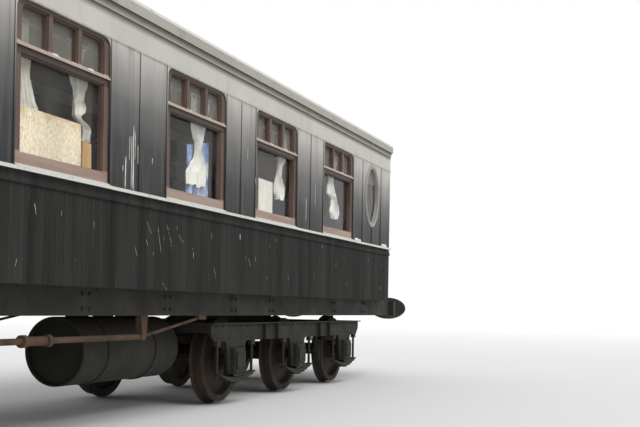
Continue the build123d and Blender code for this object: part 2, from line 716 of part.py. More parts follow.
# End walls: two canted walls and a centre face, one piece, with three doorways. Two lugs
# hang from the face, and a groove parts each round pillar from its canted wall.
with BuildPart() as end_wall_a:
    with BuildSketch(Plane.XY.offset(BODY_BOTTOM)):
        add(body_plan(0))
        add(body_plan(END_WALL), mode=Mode.SUBTRACT)
        with Locations((SIDE_HALF, 0)):
            Rectangle(
                4 * SIDE_HALF, 4 * HALF_WIDTH, align=(Align.MAX, Align.CENTER),
                mode=Mode.SUBTRACT,
            )
    extrude(amount=EAVES_Z + END_ARCH_RISE - BODY_BOTTOM)
    with BuildSketch(Plane.YZ.offset(SIDE_HALF)):
        with BuildLine():
            arch_edge = ThreePointArc(
                (HALF_WIDTH, EAVES_Z), (0, EAVES_Z + END_ARCH_RISE), (-HALF_WIDTH, EAVES_Z)
            )
            Polyline(
                arch_edge @ 1,
                (-HALF_WIDTH, EAVES_Z + 2 * END_ARCH_RISE),
                (HALF_WIDTH, EAVES_Z + 2 * END_ARCH_RISE),
                arch_edge @ 0,
            )
        make_face()
    extrude(amount=END_RUN, mode=Mode.SUBTRACT)
    with BuildSketch(CANT_PLANE):
        with Locations((ENTRANCE_START + ENTRANCE_WIDTH / 2, DOOR_BOTTOM - DOOR_GAP)):
            Rectangle(
                ENTRANCE_WIDTH, HEAD_Z - DOOR_BOTTOM + DOOR_GAP,
                align=(Align.CENTER, Align.MIN),
            )
    doorway = extrude(amount=-2 * END_WALL, mode=Mode.SUBTRACT)
    mirror(doorway, about=Plane.XZ, mode=Mode.SUBTRACT)
    with BuildSketch(FACE_PLANE):
        with Locations((0, DOOR_BOTTOM - DOOR_GAP)):
            add(
                round_topped(
                    GANGWAY_WIDTH, GANGWAY_HEAD - DOOR_BOTTOM + DOOR_GAP, GANGWAY_TOP_RADIUS
                )
            )
    extrude(amount=-2 * END_WALL, mode=Mode.SUBTRACT)
    with BuildSketch(CANT_PLANE):
        with Locations((CANT_LENGTH - PILLAR_RADIUS, BODY_BOTTOM)):
            Rectangle(PILLAR_GROOVE, EAVES_Z - BODY_BOTTOM, align=(Align.CENTER, Align.MIN))
    groove = extrude(amount=-PILLAR_GROOVE, mode=Mode.SUBTRACT)
    mirror(groove, about=Plane.XZ, mode=Mode.SUBTRACT)
    with BuildSketch(FACE_PLANE):
        with Locations((0, BODY_BOTTOM - LUG_DROP)):
            Rectangle(2 * LUG_Y + LUG_WIDTH, LUG_DROP, align=(Align.CENTER, Align.MIN))
            add(round_topped(2 * LUG_Y - LUG_WIDTH, LUG_DROP, LUG_RADIUS), mode=Mode.SUBTRACT)
    extrude(amount=-END_WALL)


# Hinges. Each hinge line stands a little inside the wall, so that the leaf swings in.
def hinge_plane(corner, along, height):
    """A level plane on a hinge line: X along the wall from it, Y into the coach."""
    return Plane(
        origin=(corner[0], corner[1], height), x_dir=(along[0], along[1], 0), z_dir=(0, 0, 1)
    )


def wall_knuckles(pivot, along):
    """The hinges' fixed knuckles, above and below each of the door's own."""
    with BuildPart() as knuckles:
        for height in HINGE_HEIGHTS:
            above = height + KNUCKLE_HEIGHT / 2 + KNUCKLE_GAP
            below = height - KNUCKLE_HEIGHT - KNUCKLE_GAP
            for bottom in (above, below):
                with BuildSketch(hinge_plane(pivot, along, bottom)):
                    Circle(KNUCKLE_RADIUS)
                    with Locations((-HINGE_LEAF / 2, (KNUCKLE_RADIUS - HINGE_OFF_WALL) / 2)):
                        Rectangle(HINGE_LEAF, KNUCKLE_RADIUS + HINGE_OFF_WALL)
                extrude(amount=KNUCKLE_HEIGHT / 2)
    return knuckles


def leaf_knuckles(pivot, along):
    """The hinges' moving knuckles, cranked out to the back of the door."""
    with BuildPart() as knuckles:
        for height in HINGE_HEIGHTS:
            with BuildSketch(hinge_plane(pivot, along, height - KNUCKLE_HEIGHT / 2)):
                Circle(KNUCKLE_RADIUS)
                with Locations(((DOOR_GAP + HINGE_LEAF) / 2, 0)):
                    Rectangle(DOOR_GAP + HINGE_LEAF, 2 * KNUCKLE_RADIUS)
                with Locations((DOOR_GAP + HINGE_LEAF / 2, -(PIVOT_DEPTH - LEAF_BACK) / 2)):
                    Rectangle(HINGE_LEAF, PIVOT_DEPTH - LEAF_BACK)
            extrude(amount=KNUCKLE_HEIGHT)
    return knuckles


PIVOT_DEPTH = END_WALL + HINGE_OFF_WALL
LEAF_BACK = DOOR_SET_BACK + DOOR_THICK
ENTRANCE_PIVOT = tuple(CANT_PLANE.from_local_coords(Vector(ENTRANCE_START, 0, -PIVOT_DEPTH)))
GANGWAY_PIVOT = (FACE_X - PIVOT_DEPTH, -GANGWAY_WIDTH / 2, 0)
entrance_knuckles = wall_knuckles(ENTRANCE_PIVOT, CORNER_ALONG)
gangway_knuckles = wall_knuckles(GANGWAY_PIVOT, (0, 1, 0))
with BuildPart() as end_wall_hinged:
    add(end_wall_a.part)
    add(entrance_knuckles.part)
    add(mirrored(entrance_knuckles).part)
    add(gangway_knuckles.part)
keep(end_wall_hinged, "end_wall_a")
keep(turned(end_wall_hinged), "end_wall_b")

# Entrance doors, in the canted walls: a tall light over a ledge, with a sunk lower panel.
ENTRANCE_LEAF = ENTRANCE_WIDTH - DOOR_GAP - DOOR_LOCK_GAP
ENTRANCE_MIDDLE = ENTRANCE_START + DOOR_GAP + ENTRANCE_LEAF / 2
DOOR_FACE = CANT_PLANE.offset(-DOOR_SET_BACK)
LEDGE_Z = ENTRANCE_GLASS_BOTTOM - LEDGE_DROP
PANEL_INSET = 90
with BuildPart() as entrance_door:
    with BuildSketch(DOOR_FACE):
        with Locations((ENTRANCE_MIDDLE, DOOR_BOTTOM)):
            Rectangle(
                ENTRANCE_LEAF, HEAD_Z - DOOR_GAP - DOOR_BOTTOM, align=(Align.CENTER, Align.MIN)
            )
        with Locations((ENTRANCE_MIDDLE, ENTRANCE_GLASS_BOTTOM)):
            Rectangle(
                ENTRANCE_GLASS_WIDTH,
                ENTRANCE_GLASS_HEIGHT,
                align=(Align.CENTER, Align.MIN),
                mode=Mode.SUBTRACT,
            )
    extrude(amount=-DOOR_THICK)
    with BuildSketch(DOOR_FACE):
        with Locations((ENTRANCE_MIDDLE, DOOR_BOTTOM + PANEL_INSET)):
            Rectangle(
                ENTRANCE_LEAF - 2 * PANEL_INSET,
                LEDGE_Z - DOOR_BOTTOM - 2 * PANEL_INSET,
                align=(Align.CENTER, Align.MIN),
            )
    extrude(amount=-PANEL_RECESS, mode=Mode.SUBTRACT)
    with BuildSketch(DOOR_FACE):
        with Locations((ENTRANCE_MIDDLE, LEDGE_Z)):
            Rectangle(ENTRANCE_LEAF - 2 * LEDGE_HEIGHT, LEDGE_HEIGHT, align=(Align.CENTER, Align.MIN))
        with Locations((ENTRANCE_START + ENTRANCE_WIDTH - PANEL_INSET, HANDLE_Z)):
            Circle(LEDGE_HEIGHT / 2)
    extrude(amount=LEDGE_PROUD)
    with BuildSketch(DOOR_FACE.offset(LEDGE_PROUD)):
        with Locations((ENTRANCE_START + ENTRANCE_WIDTH - PANEL_INSET, HANDLE_Z)):
            SlotCenterToCenter(2 * HANDLE_REACH, LEDGE_HEIGHT, rotation=90)
    extrude(amount=LEDGE_HEIGHT / 2)
    with BuildSketch(DOOR_FACE):
        with Locations((ENTRANCE_MIDDLE, ENTRANCE_GLASS_BOTTOM + ENTRANCE_GLASS_HEIGHT / 2)):
            Rectangle(
                ENTRANCE_GLASS_WIDTH + 2 * ENTRANCE_BEAD, ENTRANCE_GLASS_HEIGHT + 2 * ENTRANCE_BEAD
            )
            Rectangle(ENTRANCE_GLASS_WIDTH, ENTRANCE_GLASS_HEIGHT, mode=Mode.SUBTRACT)
    extrude(amount=BATTEN_PROUD)
    add(leaf_knuckles(ENTRANCE_PIVOT, CORNER_ALONG).part)
with BuildPart() as entrance_glass:
    with BuildSketch(DOOR_FACE.offset(-DOOR_THICK / 2)):
        with Locations((ENTRANCE_MIDDLE, ENTRANCE_GLASS_BOTTOM + FRAME_GAP)):
            Rectangle(
                ENTRANCE_GLASS_WIDTH - 2 * FRAME_GAP,
                ENTRANCE_GLASS_HEIGHT - 2 * FRAME_GAP,
                align=(Align.CENTER, Align.MIN),
            )
    extrude(amount=-GLASS_THICK)

# Gangway door, in each end's face: two round-topped lights over two sunk panels.
GANGWAY_LEAF = GANGWAY_WIDTH - DOOR_GAP - DOOR_LOCK_GAP
GANGWAY_MIDDLE = (DOOR_GAP - DOOR_LOCK_GAP) / 2
GANGWAY_FACE = FACE_PLANE.offset(-DOOR_SET_BACK)
LIGHT_MIDDLES = (GANGWAY_MIDDLE - GANGWAY_LIGHT_Y, GANGWAY_MIDDLE + GANGWAY_LIGHT_Y)


def arched_light(gap):
    """A light with a fully round head, drawn smaller by a gap all round."""
    width = GANGWAY_LIGHT_WIDTH - 2 * gap
    straight = GANGWAY_LIGHT_HEIGHT - GANGWAY_LIGHT_WIDTH / 2 - gap
    with BuildSketch() as light:
        with Locations((0, gap)):
            Rectangle(width, straight, align=(Align.CENTER, Align.MIN))
        with Locations((0, gap + straight)):
            Circle(width / 2)
    return light.sketch


with BuildPart() as gangway_door:
    with BuildSketch(GANGWAY_FACE):
        with Locations((GANGWAY_MIDDLE, DOOR_BOTTOM)):
            add(
                round_topped(
                    GANGWAY_LEAF, GANGWAY_HEAD - DOOR_GAP - DOOR_BOTTOM, GANGWAY_TOP_RADIUS
                )
            )
        with Locations(*[(y, GANGWAY_LIGHT_BOTTOM) for y in LIGHT_MIDDLES]):
            add(arched_light(0), mode=Mode.SUBTRACT)
    extrude(amount=-DOOR_THICK)
    with BuildSketch(GANGWAY_FACE):
        with Locations(*[(y, GANGWAY_PANEL_BOTTOM) for y in LIGHT_MIDDLES]):
            Rectangle(
                GANGWAY_LIGHT_WIDTH, GANGWAY_PANEL_HEIGHT, align=(Align.CENTER, Align.MIN)
            )
    extrude(amount=-PANEL_RECESS, mode=Mode.SUBTRACT)
    add(leaf_knuckles(GANGWAY_PIVOT, (0, 1, 0)).part)
with BuildPart() as gangway_glass:
    with BuildSketch(GANGWAY_FACE.offset(-DOOR_THICK / 2)):
        with Locations(*[(y, GANGWAY_LIGHT_BOTTOM) for y in LIGHT_MIDDLES]):
            add(arched_light(FRAME_GAP))
    extrude(amount=-GLASS_THICK)

# A piece turned to end b keeps its name's side, so entrance_b_right is at +Y.
for door, glass, kind in (
    (entrance_door, entrance_glass, "entrance_{}_right"),
    (mirrored(entrance_door), mirrored(entrance_glass), "entrance_{}_left"),
    (gangway_door, gangway_glass, "gangway_{}"),
):
    keep(door, kind.format("a") + "_door")
    keep(glass, kind.format("a") + "_glass")
    keep(turned(door), kind.format("b") + "_door")
    keep(turned(glass), kind.format("b") + "_glass")

# Window frames: a wide stile each side, a deep bottom rail and three top lights, with a
# step round each light and a ledge along the transom.
FRAME_FACE = RIGHT_SIDE_PLANE.offset(-FRAME_SET_BACK)
LIGHT_WIDTH = WINDOW_WIDTH - 2 * STILE
TRANSOM_Z = WAIST_Z + TRANSOM_ABOVE_WAIST
TOP_LIGHT_Z = TRANSOM_Z + TRANSOM
TOP_LIGHT_HEIGHT = HEAD_Z - HEAD_RAIL - TOP_LIGHT_Z


def frame_lights(grown):
    """The lights of a window frame, grown all round."""
    with BuildSketch() as lights:
        with Locations((0, WAIST_Z + BOTTOM_RAIL - grown)):
            Rectangle(
                LIGHT_WIDTH + 2 * grown,
                TRANSOM_Z - WAIST_Z - BOTTOM_RAIL + 2 * grown,
                align=(Align.CENTER, Align.MIN),
            )
        with Locations((0, TOP_LIGHT_Z - grown)):
            add(
                round_topped(
                    LIGHT_WIDTH + 2 * grown,
                    TOP_LIGHT_HEIGHT + 2 * grown,
                    WINDOW_TOP_RADIUS - HEAD_RAIL + grown,
                )
            )
        with Locations((-MULLION_X, TOP_LIGHT_Z - grown), (MULLION_X, TOP_LIGHT_Z - grown)):
            Rectangle(
                MULLION - 2 * grown,
                TOP_LIGHT_HEIGHT + 2 * grown,
                align=(Align.CENTER, Align.MIN),
                mode=Mode.SUBTRACT,
            )
    return lights.sketch


with BuildPart() as window_frame:
    with BuildSketch(FRAME_FACE):
        with Locations((0, WAIST_Z + FRAME_GAP)):
            add(
                round_topped(
                    WINDOW_WIDTH - 2 * FRAME_GAP,
                    WINDOW_ZONE - 2 * FRAME_GAP,
                    WINDOW_TOP_RADIUS - FRAME_GAP,
                )
            )
        add(frame_lights(0), mode=Mode.SUBTRACT)
    extrude(amount=-FRAME_DEPTH)
    with BuildSketch(FRAME_FACE):
        add(frame_lights(REBATE))
    extrude(amount=-REBATE_DEPTH, mode=Mode.SUBTRACT)
    with BuildSketch(Plane.YZ.offset(-SILL_LENGTH / 2)):
        with BuildLine():
            face_y = -HALF_WIDTH + FRAME_SET_BACK
            ledge_top = TOP_LIGHT_Z - REBATE
            ledge_foot = ledge_top - TRANSOM_LEDGE_HEIGHT
            Polyline(
                (face_y, ledge_foot),
                (face_y - TRANSOM_LEDGE_OUT, ledge_foot),
                (face_y - TRANSOM_LEDGE_OUT, ledge_top - TRANSOM_LEDGE_SLOPE),
                (face_y, ledge_top),
                close=True,
            )
        make_face()
    extrude(amount=SILL_LENGTH)
with BuildPart() as window_frames_right:
    with Locations(*[(x, 0, 0) for x in WINDOW_XS]):
        add(window_frame.part)
keep(window_frames_right, "window_frames_right")
keep(mirrored(window_frames_right), "window_frames_left")

# Side glass: a pane behind each frame, and an oval one in each ring.
PANE_FACE = FRAME_FACE.offset(-FRAME_DEPTH)
with BuildPart() as side_glass:
    with BuildSketch(PANE_FACE):
        with Locations(*[(x, WAIST_Z + BOTTOM_RAIL / 2) for x in WINDOW_XS]):
            Rectangle(
                WINDOW_WIDTH - STILE,
                WINDOW_ZONE - BOTTOM_RAIL / 2 - HEAD_RAIL,
                align=(Align.CENTER, Align.MIN),
            )
    extrude(amount=-GLASS_THICK)
    with BuildSketch(RIGHT_SIDE_PLANE.offset(-GLASS_SET_BACK)):
        with Locations((-OVAL_X, OVAL_Z), (OVAL_X, OVAL_Z)):
            Ellipse(
                OVAL_WIDTH / 2 - OVAL_RING - FRAME_GAP, OVAL_HEIGHT / 2 - OVAL_RING - FRAME_GAP
            )
    extrude(amount=-GLASS_THICK)
    mirror(about=Plane.XZ)
keep(side_glass, "side_glass")

# Oval rings: a ring round each of the four ovals, proud of the panel, with a raised bead.
with BuildPart() as oval_rings:
    with BuildSketch(RIGHT_SIDE_PLANE.offset(BATTEN_PROUD)):
        with Locations((-OVAL_X, OVAL_Z), (OVAL_X, OVAL_Z)):
            Ellipse(OVAL_WIDTH / 2 - FRAME_GAP, OVAL_HEIGHT / 2 - FRAME_GAP)
            Ellipse(
                OVAL_WIDTH / 2 - OVAL_RING, OVAL_HEIGHT / 2 - OVAL_RING, mode=Mode.SUBTRACT
            )
    extrude(amount=-BATTEN_PROUD - FRAME_DEPTH)
    with BuildSketch(RIGHT_SIDE_PLANE.offset(BATTEN_PROUD)):
        with Locations((-OVAL_X, OVAL_Z), (OVAL_X, OVAL_Z)):
            Ellipse(OVAL_WIDTH / 2 - OVAL_BEAD, OVAL_HEIGHT / 2 - OVAL_BEAD)
            Ellipse(
                OVAL_WIDTH / 2 - 2 * OVAL_BEAD, OVAL_HEIGHT / 2 - 2 * OVAL_BEAD, mode=Mode.SUBTRACT
            )
    extrude(amount=BATTEN_PROUD)
    mirror(about=Plane.XZ)
keep(oval_rings, "oval_rings")

# Floor: one slab inside the walls, over the underframe.
with BuildPart() as floor:
    with BuildSketch(Plane.XY.offset(BODY_BOTTOM)):
        add(body_plan(END_WALL))
        Rectangle(2 * FACE_X, 2 * INNER_Y, mode=Mode.INTERSECT)
    extrude(amount=FLOOR_THICK)
keep(floor, "floor")

# Partitions: two cross walls near each end, arched to the ceiling, with the corridor's
# walls between them.
CEILING_RADIUS = (INNER_Y**2 + CEILING_RISE**2) / (2 * CEILING_RISE)
CEILING_GAP = 2
WALL_OUTER_Y = CORRIDOR_HALF + PARTITION_THICK
CORRIDOR_TOP = (
    EAVES_Z + CEILING_RISE - CEILING_RADIUS + sqrt(CEILING_RADIUS**2 - WALL_OUTER_Y**2)
) - CEILING_GAP
with BuildPart() as partitions_a:
    corridor_middle = (SALOON_PARTITION_X + VESTIBULE_PARTITION_X) / 2
    corridor_length = VESTIBULE_PARTITION_X - SALOON_PARTITION_X
    for cross_x in (SALOON_PARTITION_X, VESTIBULE_PARTITION_X):
        with BuildSketch(Plane.YZ.offset(cross_x - PARTITION_THICK / 2)):
            with BuildLine():
                ceiling = ThreePointArc(
                    (INNER_Y, EAVES_Z),
                    (0, EAVES_Z + CEILING_RISE - CEILING_GAP),
                    (-INNER_Y, EAVES_Z),
                )
                Polyline(
                    ceiling @ 1, (-INNER_Y, FLOOR_TOP), (INNER_Y, FLOOR_TOP), ceiling @ 0
                )
            make_face()
        extrude(amount=PARTITION_THICK)
    with BuildSketch(Plane.XY.offset(FLOOR_TOP)):
        wall_y = CORRIDOR_HALF + PARTITION_THICK / 2
        with Locations((corridor_middle, -wall_y), (corridor_middle, wall_y)):
            Rectangle(corridor_length, PARTITION_THICK)
    extrude(amount=CORRIDOR_TOP - FLOOR_TOP)
    with BuildSketch(Plane.XY.offset(FLOOR_TOP)):
        with Locations((corridor_middle, 0)):
            Rectangle(corridor_length + 2 * PARTITION_THICK, 2 * CORRIDOR_HALF)
    extrude(amount=DOORWAY_HEAD - FLOOR_TOP, mode=Mode.SUBTRACT)
with BuildPart() as partitions:
    add(partitions_a.part)
    add(partitions_a.part, rotation=(0, 0, 180))
keep(partitions, "partitions")

# Tables: one under each window, on a turned column, with its top against the wall.
with BuildPart() as table:
    with BuildSketch(Plane.XY.offset(TABLE_HEIGHT - TABLE_THICK)):
        RectangleRounded(TABLE_LENGTH, TABLE_WIDTH - 2 * TABLE_OFF_WALL, TABLE_LEG_RADIUS)
    extrude(amount=TABLE_THICK)
    with BuildSketch(Plane.XZ):
        with BuildLine():
            Polyline(
                (0, 0),
                (TABLE_FOOT_RADIUS, 0),
                (TABLE_FOOT_RADIUS, TABLE_FOOT_EDGE),
                (TABLE_LEG_RADIUS, TABLE_FOOT_HEIGHT),
                (TABLE_LEG_RADIUS, TABLE_HEIGHT - TABLE_THICK - TABLE_FOOT_HEIGHT),
                (2 * TABLE_LEG_RADIUS, TABLE_HEIGHT - TABLE_THICK),
                (0, TABLE_HEIGHT - TABLE_THICK),
                close=True,
            )
        make_face()
    revolve(axis=Axis.Z)
with BuildPart() as tables:
    table_y = -INNER_Y + TABLE_WIDTH / 2
    with Locations(*[(x, table_y, FLOOR_TOP) for x in WINDOW_XS]):
        add(table.part)
    mirror(about=Plane.XZ)
keep(tables, "tables")


# Armchairs: one each side of every table, facing it.
def chair_profile():
    """A chair's seat and back from its side, with its upper corners rounded."""
    half = CHAIR_DEPTH / 2
    with BuildSketch() as profile:
        with BuildLine():
            Polyline(
                (-half + CHAIR_BACK_THICK / 2, CHAIR_LEG),
                (half, CHAIR_LEG),
                (half, CHAIR_SEAT_HEIGHT),
                (-half + CHAIR_BACK_THICK, CHAIR_SEAT_HEIGHT - CHAIR_SEAT_DIP),
                (-half + CHAIR_BACK_TOP, CHAIR_BACK_HEIGHT),
                (-half, CHAIR_BACK_HEIGHT),
                close=True,
            )
        make_face()
        upper_corners = profile.vertices().filter_by(lambda v: v.Y > CHAIR_SEAT_HEIGHT - 1)
        fillet(upper_corners, CHAIR_ROUND)
    return profile.sketch


def chair_arm():
    """An arm from its side, square at the back and round in front."""
    with BuildSketch() as arm:
        with Locations((CHAIR_BACK_THICK / 2, CHAIR_LEG)):
            Rectangle(
                CHAIR_DEPTH - 1.5 * CHAIR_BACK_THICK,
                CHAIR_ARM_HEIGHT - CHAIR_LEG,
                align=(Align.CENTER, Align.MIN),
            )
        fillet(arm.vertices().group_by(Axis.Y)[-1].sort_by(Axis.X)[-1], CHAIR_ROUND)
    return arm.sketch


with BuildPart() as armchair:
    with BuildSketch(Plane.XZ.offset(-CHAIR_WIDTH / 2)):
        add(chair_profile())
    extrude(amount=CHAIR_WIDTH)
    with BuildSketch(Plane.XZ.offset(-CHAIR_WIDTH / 2)):
        add(chair_arm())
    extrude(amount=CHAIR_ARM_WIDTH)
    foot_x = CHAIR_DEPTH / 2 - CHAIR_LEG
    foot_y = CHAIR_WIDTH / 2 - CHAIR_LEG
    with BuildSketch():
        with Locations((-foot_x, foot_y), (foot_x, foot_y)):
            Rectangle(CHAIR_LEG / 2, CHAIR_LEG / 2)
    extrude(amount=CHAIR_LEG)
    mirror(about=Plane.XZ)
with BuildPart() as armchairs:
    chair_y = INNER_Y - CHAIR_OFF_WALL - CHAIR_WIDTH / 2
    for window_x in WINDOW_XS:
        for way in (-1, 1):
            with Locations(
                Location(
                    (window_x + way * CHAIR_FROM_TABLE, -chair_y, FLOOR_TOP),
                    (0, 0, 90 + 90 * way),
                )
            ):
                add(armchair.part)
    mirror(about=Plane.XZ)
keep(armchairs, "armchairs")

# Curtains: a pair at every window, gathered in at half height.
CURTAIN_BACK = PANE_FACE.offset(-GLASS_THICK - CURTAIN_OFF_FRAME)
CURTAIN_X = (LIGHT_WIDTH - CURTAIN_WIDTH) / 2
CURTAIN_BOTTOM = WAIST_Z + BOTTOM_RAIL
CURTAIN_MIDDLE = (CURTAIN_BOTTOM + CURTAIN_TOP) / 2


def curtain_shape():
    """A curtain drawn in at its tie, flaring to its head and its foot."""
    half_height = (CURTAIN_TOP - CURTAIN_BOTTOM) / 2
    with BuildSketch() as shape:
        with BuildLine():
            Polyline(
                (-CURTAIN_WIDTH / 2, half_height),
                (CURTAIN_WIDTH / 2, half_height),
                (CURTAIN_WAIST / 2, 0),
                (CURTAIN_WIDTH / 2, -half_height),
                (-CURTAIN_WIDTH / 2, -half_height),
                (-CURTAIN_WAIST / 2, 0),
                close=True,
            )
        make_face()
    return shape.sketch


with BuildPart() as curtains:
    with BuildSketch(CURTAIN_BACK):
        for window_x in WINDOW_XS:
            for way in (-1, 1):
                with Locations((window_x + way * CURTAIN_X, CURTAIN_MIDDLE)):
                    add(curtain_shape())
    extrude(amount=-CURTAIN_DEPTH)
    mirror(about=Plane.XZ)
keep(curtains, "curtains")

# Curtain rods: a bar over each pair of curtains, cranked to the wall at both ends.
ROD_LENGTH = WINDOW_WIDTH + 2 * ROD_OVERLAP
ROD_OUT = INNER_Y - (HALF_WIDTH - FRAME_SET_BACK - FRAME_DEPTH - GLASS_THICK) + (
    CURTAIN_OFF_FRAME + (CURTAIN_DEPTH + ROD_THICK) / 2
)
with BuildPart() as curtain_rods:
    with BuildSketch(Plane.XY.offset(CURTAIN_TOP + FRAME_GAP)):
        for window_x in WINDOW_XS:
            with Locations((window_x, -INNER_Y)):
                Rectangle(ROD_LENGTH, ROD_OUT, align=(Align.CENTER, Align.MIN))
                Rectangle(
                    ROD_LENGTH - 2 * ROD_THICK,
                    ROD_OUT - ROD_THICK,
                    align=(Align.CENTER, Align.MIN),
                    mode=Mode.SUBTRACT,
                )
    extrude(amount=ROD_THICK)
    mirror(about=Plane.XZ)
keep(curtain_rods, "curtain_rods")

# Storm board: a sheet of chipboard set inside the middle window of the right side.
with BuildPart() as storm_board:
    with BuildSketch(PANE_FACE.offset(-GLASS_THICK - FRAME_GAP)):
        with Locations((STORM_BOARD_X, CURTAIN_BOTTOM)):
            Rectangle(
                STORM_BOARD_WIDTH, STORM_BOARD_HEIGHT, align=(Align.CENTER, Align.MIN)
            )
    extrude(amount=-(CURTAIN_OFF_FRAME - 2 * FRAME_GAP))
keep(storm_board, "storm_board")


# Underframe: channel solebars, headstocks, cross members, two centre beams and bolsters
# that deepen towards their centre plates.
def rod(start, end, radius):
    """A round bar from one point to another."""
    along = Vector(*end) - Vector(*start)
    with BuildPart() as bar:
        with BuildSketch(Plane(origin=start, z_dir=along.normalized())):
            Circle(radius)
        extrude(amount=along.length)
    return bar.part


with BuildPart() as underframe:
    inner_y = SOLEBAR_Y - SOLEBAR_WEB
    flange_y = SOLEBAR_Y - SOLEBAR_FLANGE
    for side in (-1, 1):
        with BuildSketch(Plane.YZ.offset(-HEADSTOCK_BACK)):
            with BuildLine():
                Polyline(
                    (side * SOLEBAR_Y, SOLEBAR_BOTTOM),
                    (side * SOLEBAR_Y, BODY_BOTTOM),
                    (side * flange_y, BODY_BOTTOM),
                    (side * flange_y, BODY_BOTTOM - SOLEBAR_WEB),
                    (side * inner_y, BODY_BOTTOM - SOLEBAR_WEB),
                    (side * inner_y, SOLEBAR_BOTTOM + SOLEBAR_WEB),
                    (side * flange_y, SOLEBAR_BOTTOM + SOLEBAR_WEB),
                    (side * flange_y, SOLEBAR_BOTTOM),
                    close=True,
                )
            make_face()
        extrude(amount=2 * HEADSTOCK_BACK)
    with BuildSketch(Plane.XY.offset(CROSS_BOTTOM)):
        with Locations(*[(side * x, 0) for side in (-1, 1) for x in CROSS_XS]):
            Rectangle(CROSS_WIDTH, 2 * inner_y)
        with Locations((0, -CENTRE_BEAM_Y), (0, CENTRE_BEAM_Y)):
            Rectangle(2 * HEADSTOCK_BACK, CENTRE_BEAM_WIDTH)
    extrude(amount=CROSS_HEIGHT)
    for pivot_x in (-PIVOT_X, PIVOT_X):
        with BuildSketch(Plane.YZ.offset(pivot_x - BODY_BOLSTER_WIDTH / 2)):
            with BuildLine():
                Polyline(
                    (-inner_y, BODY_BOTTOM),
                    (-inner_y, BODY_BOTTOM - BODY_BOLSTER_END),
                    (-BODY_BOLSTER_FLAT, CROSS_BOTTOM),
                    (BODY_BOLSTER_FLAT, CROSS_BOTTOM),
                    (inner_y, BODY_BOTTOM - BODY_BOLSTER_END),
                    (inner_y, BODY_BOTTOM),
                    close=True,
                )
            make_face()
        extrude(amount=BODY_BOLSTER_WIDTH)
    with BuildSketch(Plane.XY.offset(CENTRE_PLATE_Z)):
        with Locations((-PIVOT_X, 0), (PIVOT_X, 0)):
            Circle(CENTRE_PLATE_RADIUS)
    extrude(amount=CENTRE_PLATE_DROP)
    with BuildSketch(Plane.XY.offset(SOLEBAR_BOTTOM)):
        headstock_middle = HEADSTOCK_BACK + HEADSTOCK_THICK / 2
        with Locations((-headstock_middle, 0), (headstock_middle, 0)):
            Rectangle(HEADSTOCK_THICK, 2 * HEADSTOCK_HALF)
    extrude(amount=SOLEBAR_HEIGHT)
keep(underframe, "underframe")

# Trusses: under each solebar a tie rod with a turnbuckle, held down by two tapered posts
# and carried up to the solebar by a thinner rod at each end.
TRUSS_Y = -SOLEBAR_Y + TRUSS_WIDTH / 2
TIE_Z = TRUSS_Z + TRUSS_POST_FOOT / 2
ANCHOR_LENGTH = 150
ANCHOR_HEIGHT = 40
with BuildPart() as trusses:
    add(rod((-TRUSS_POST_X, TRUSS_Y, TIE_Z), (TRUSS_POST_X, TRUSS_Y, TIE_Z), TRUSS_TIE_RADIUS))
    turnbuckle_end = TURNBUCKLE_LENGTH / 2
    add(rod((-turnbuckle_end, TRUSS_Y, TIE_Z), (turnbuckle_end, TRUSS_Y, TIE_Z), TURNBUCKLE_RADIUS))
    for way in (-1, 1):
        nut_end = way * (turnbuckle_end - TURNBUCKLE_NUT_LENGTH)
        add(
            rod(
                (way * turnbuckle_end, TRUSS_Y, TIE_Z),
                (nut_end, TRUSS_Y, TIE_Z),
                TURNBUCKLE_NUT_RADIUS,
            )
        )
        add(
            rod(
                (way * TRUSS_POST_X, TRUSS_Y, TIE_Z),
                (way * TRUSS_END_X, TRUSS_Y, SOLEBAR_BOTTOM - ANCHOR_HEIGHT / 2),
                TRUSS_SLOPE_RADIUS,
            )
        )
        with BuildSketch(Plane.XZ.offset(-TRUSS_Y - TRUSS_WIDTH / 2)):
            with BuildLine():
                post_x = way * TRUSS_POST_X
                Polyline(
                    (post_x - TRUSS_POST_FOOT / 2, TRUSS_Z),
                    (post_x + TRUSS_POST_FOOT / 2, TRUSS_Z),
                    (post_x + TRUSS_POST_TOP / 2, SOLEBAR_BOTTOM),
                    (post_x - TRUSS_POST_TOP / 2, SOLEBAR_BOTTOM),
                    close=True,
                )
            make_face()
            with Locations((way * TRUSS_END_X, SOLEBAR_BOTTOM)):
                Rectangle(ANCHOR_LENGTH, ANCHOR_HEIGHT, align=(Align.CENTER, Align.MAX))
        extrude(amount=TRUSS_WIDTH)
    mirror(about=Plane.XZ)
keep(trusses, "trusses")

# Tanks: a long reservoir with dished ends each side of the middle, on two straps that
# hang from a centre beam.
with BuildPart() as reservoir:
    with BuildSketch(Plane.XZ):
        with BuildLine():
            dish_radius = TANK_RADIUS - TANK_RIM
            crown = TANK_RECESS - TANK_DISH
            sphere = (dish_radius**2 + TANK_DISH**2) / (2 * TANK_DISH)
            half_way = crown + sphere - sqrt(sphere**2 - dish_radius**2 / 4)
            near_dish = ThreePointArc(
                (crown, 0), (half_way, dish_radius / 2), (TANK_RECESS, dish_radius)
            )
            far_dish = ThreePointArc(
                (TANK_LENGTH - TANK_RECESS, dish_radius),
                (TANK_LENGTH - half_way, dish_radius / 2),
                (TANK_LENGTH - crown, 0),
            )
            Polyline(
                near_dish @ 1,
                (0, dish_radius),
                (0, TANK_RADIUS),
                (TANK_LENGTH, TANK_RADIUS),
                (TANK_LENGTH, dish_radius),
                far_dish @ 0,
            )
            Line(far_dish @ 1, near_dish @ 0)
        make_face()
    revolve(axis=Axis.X)
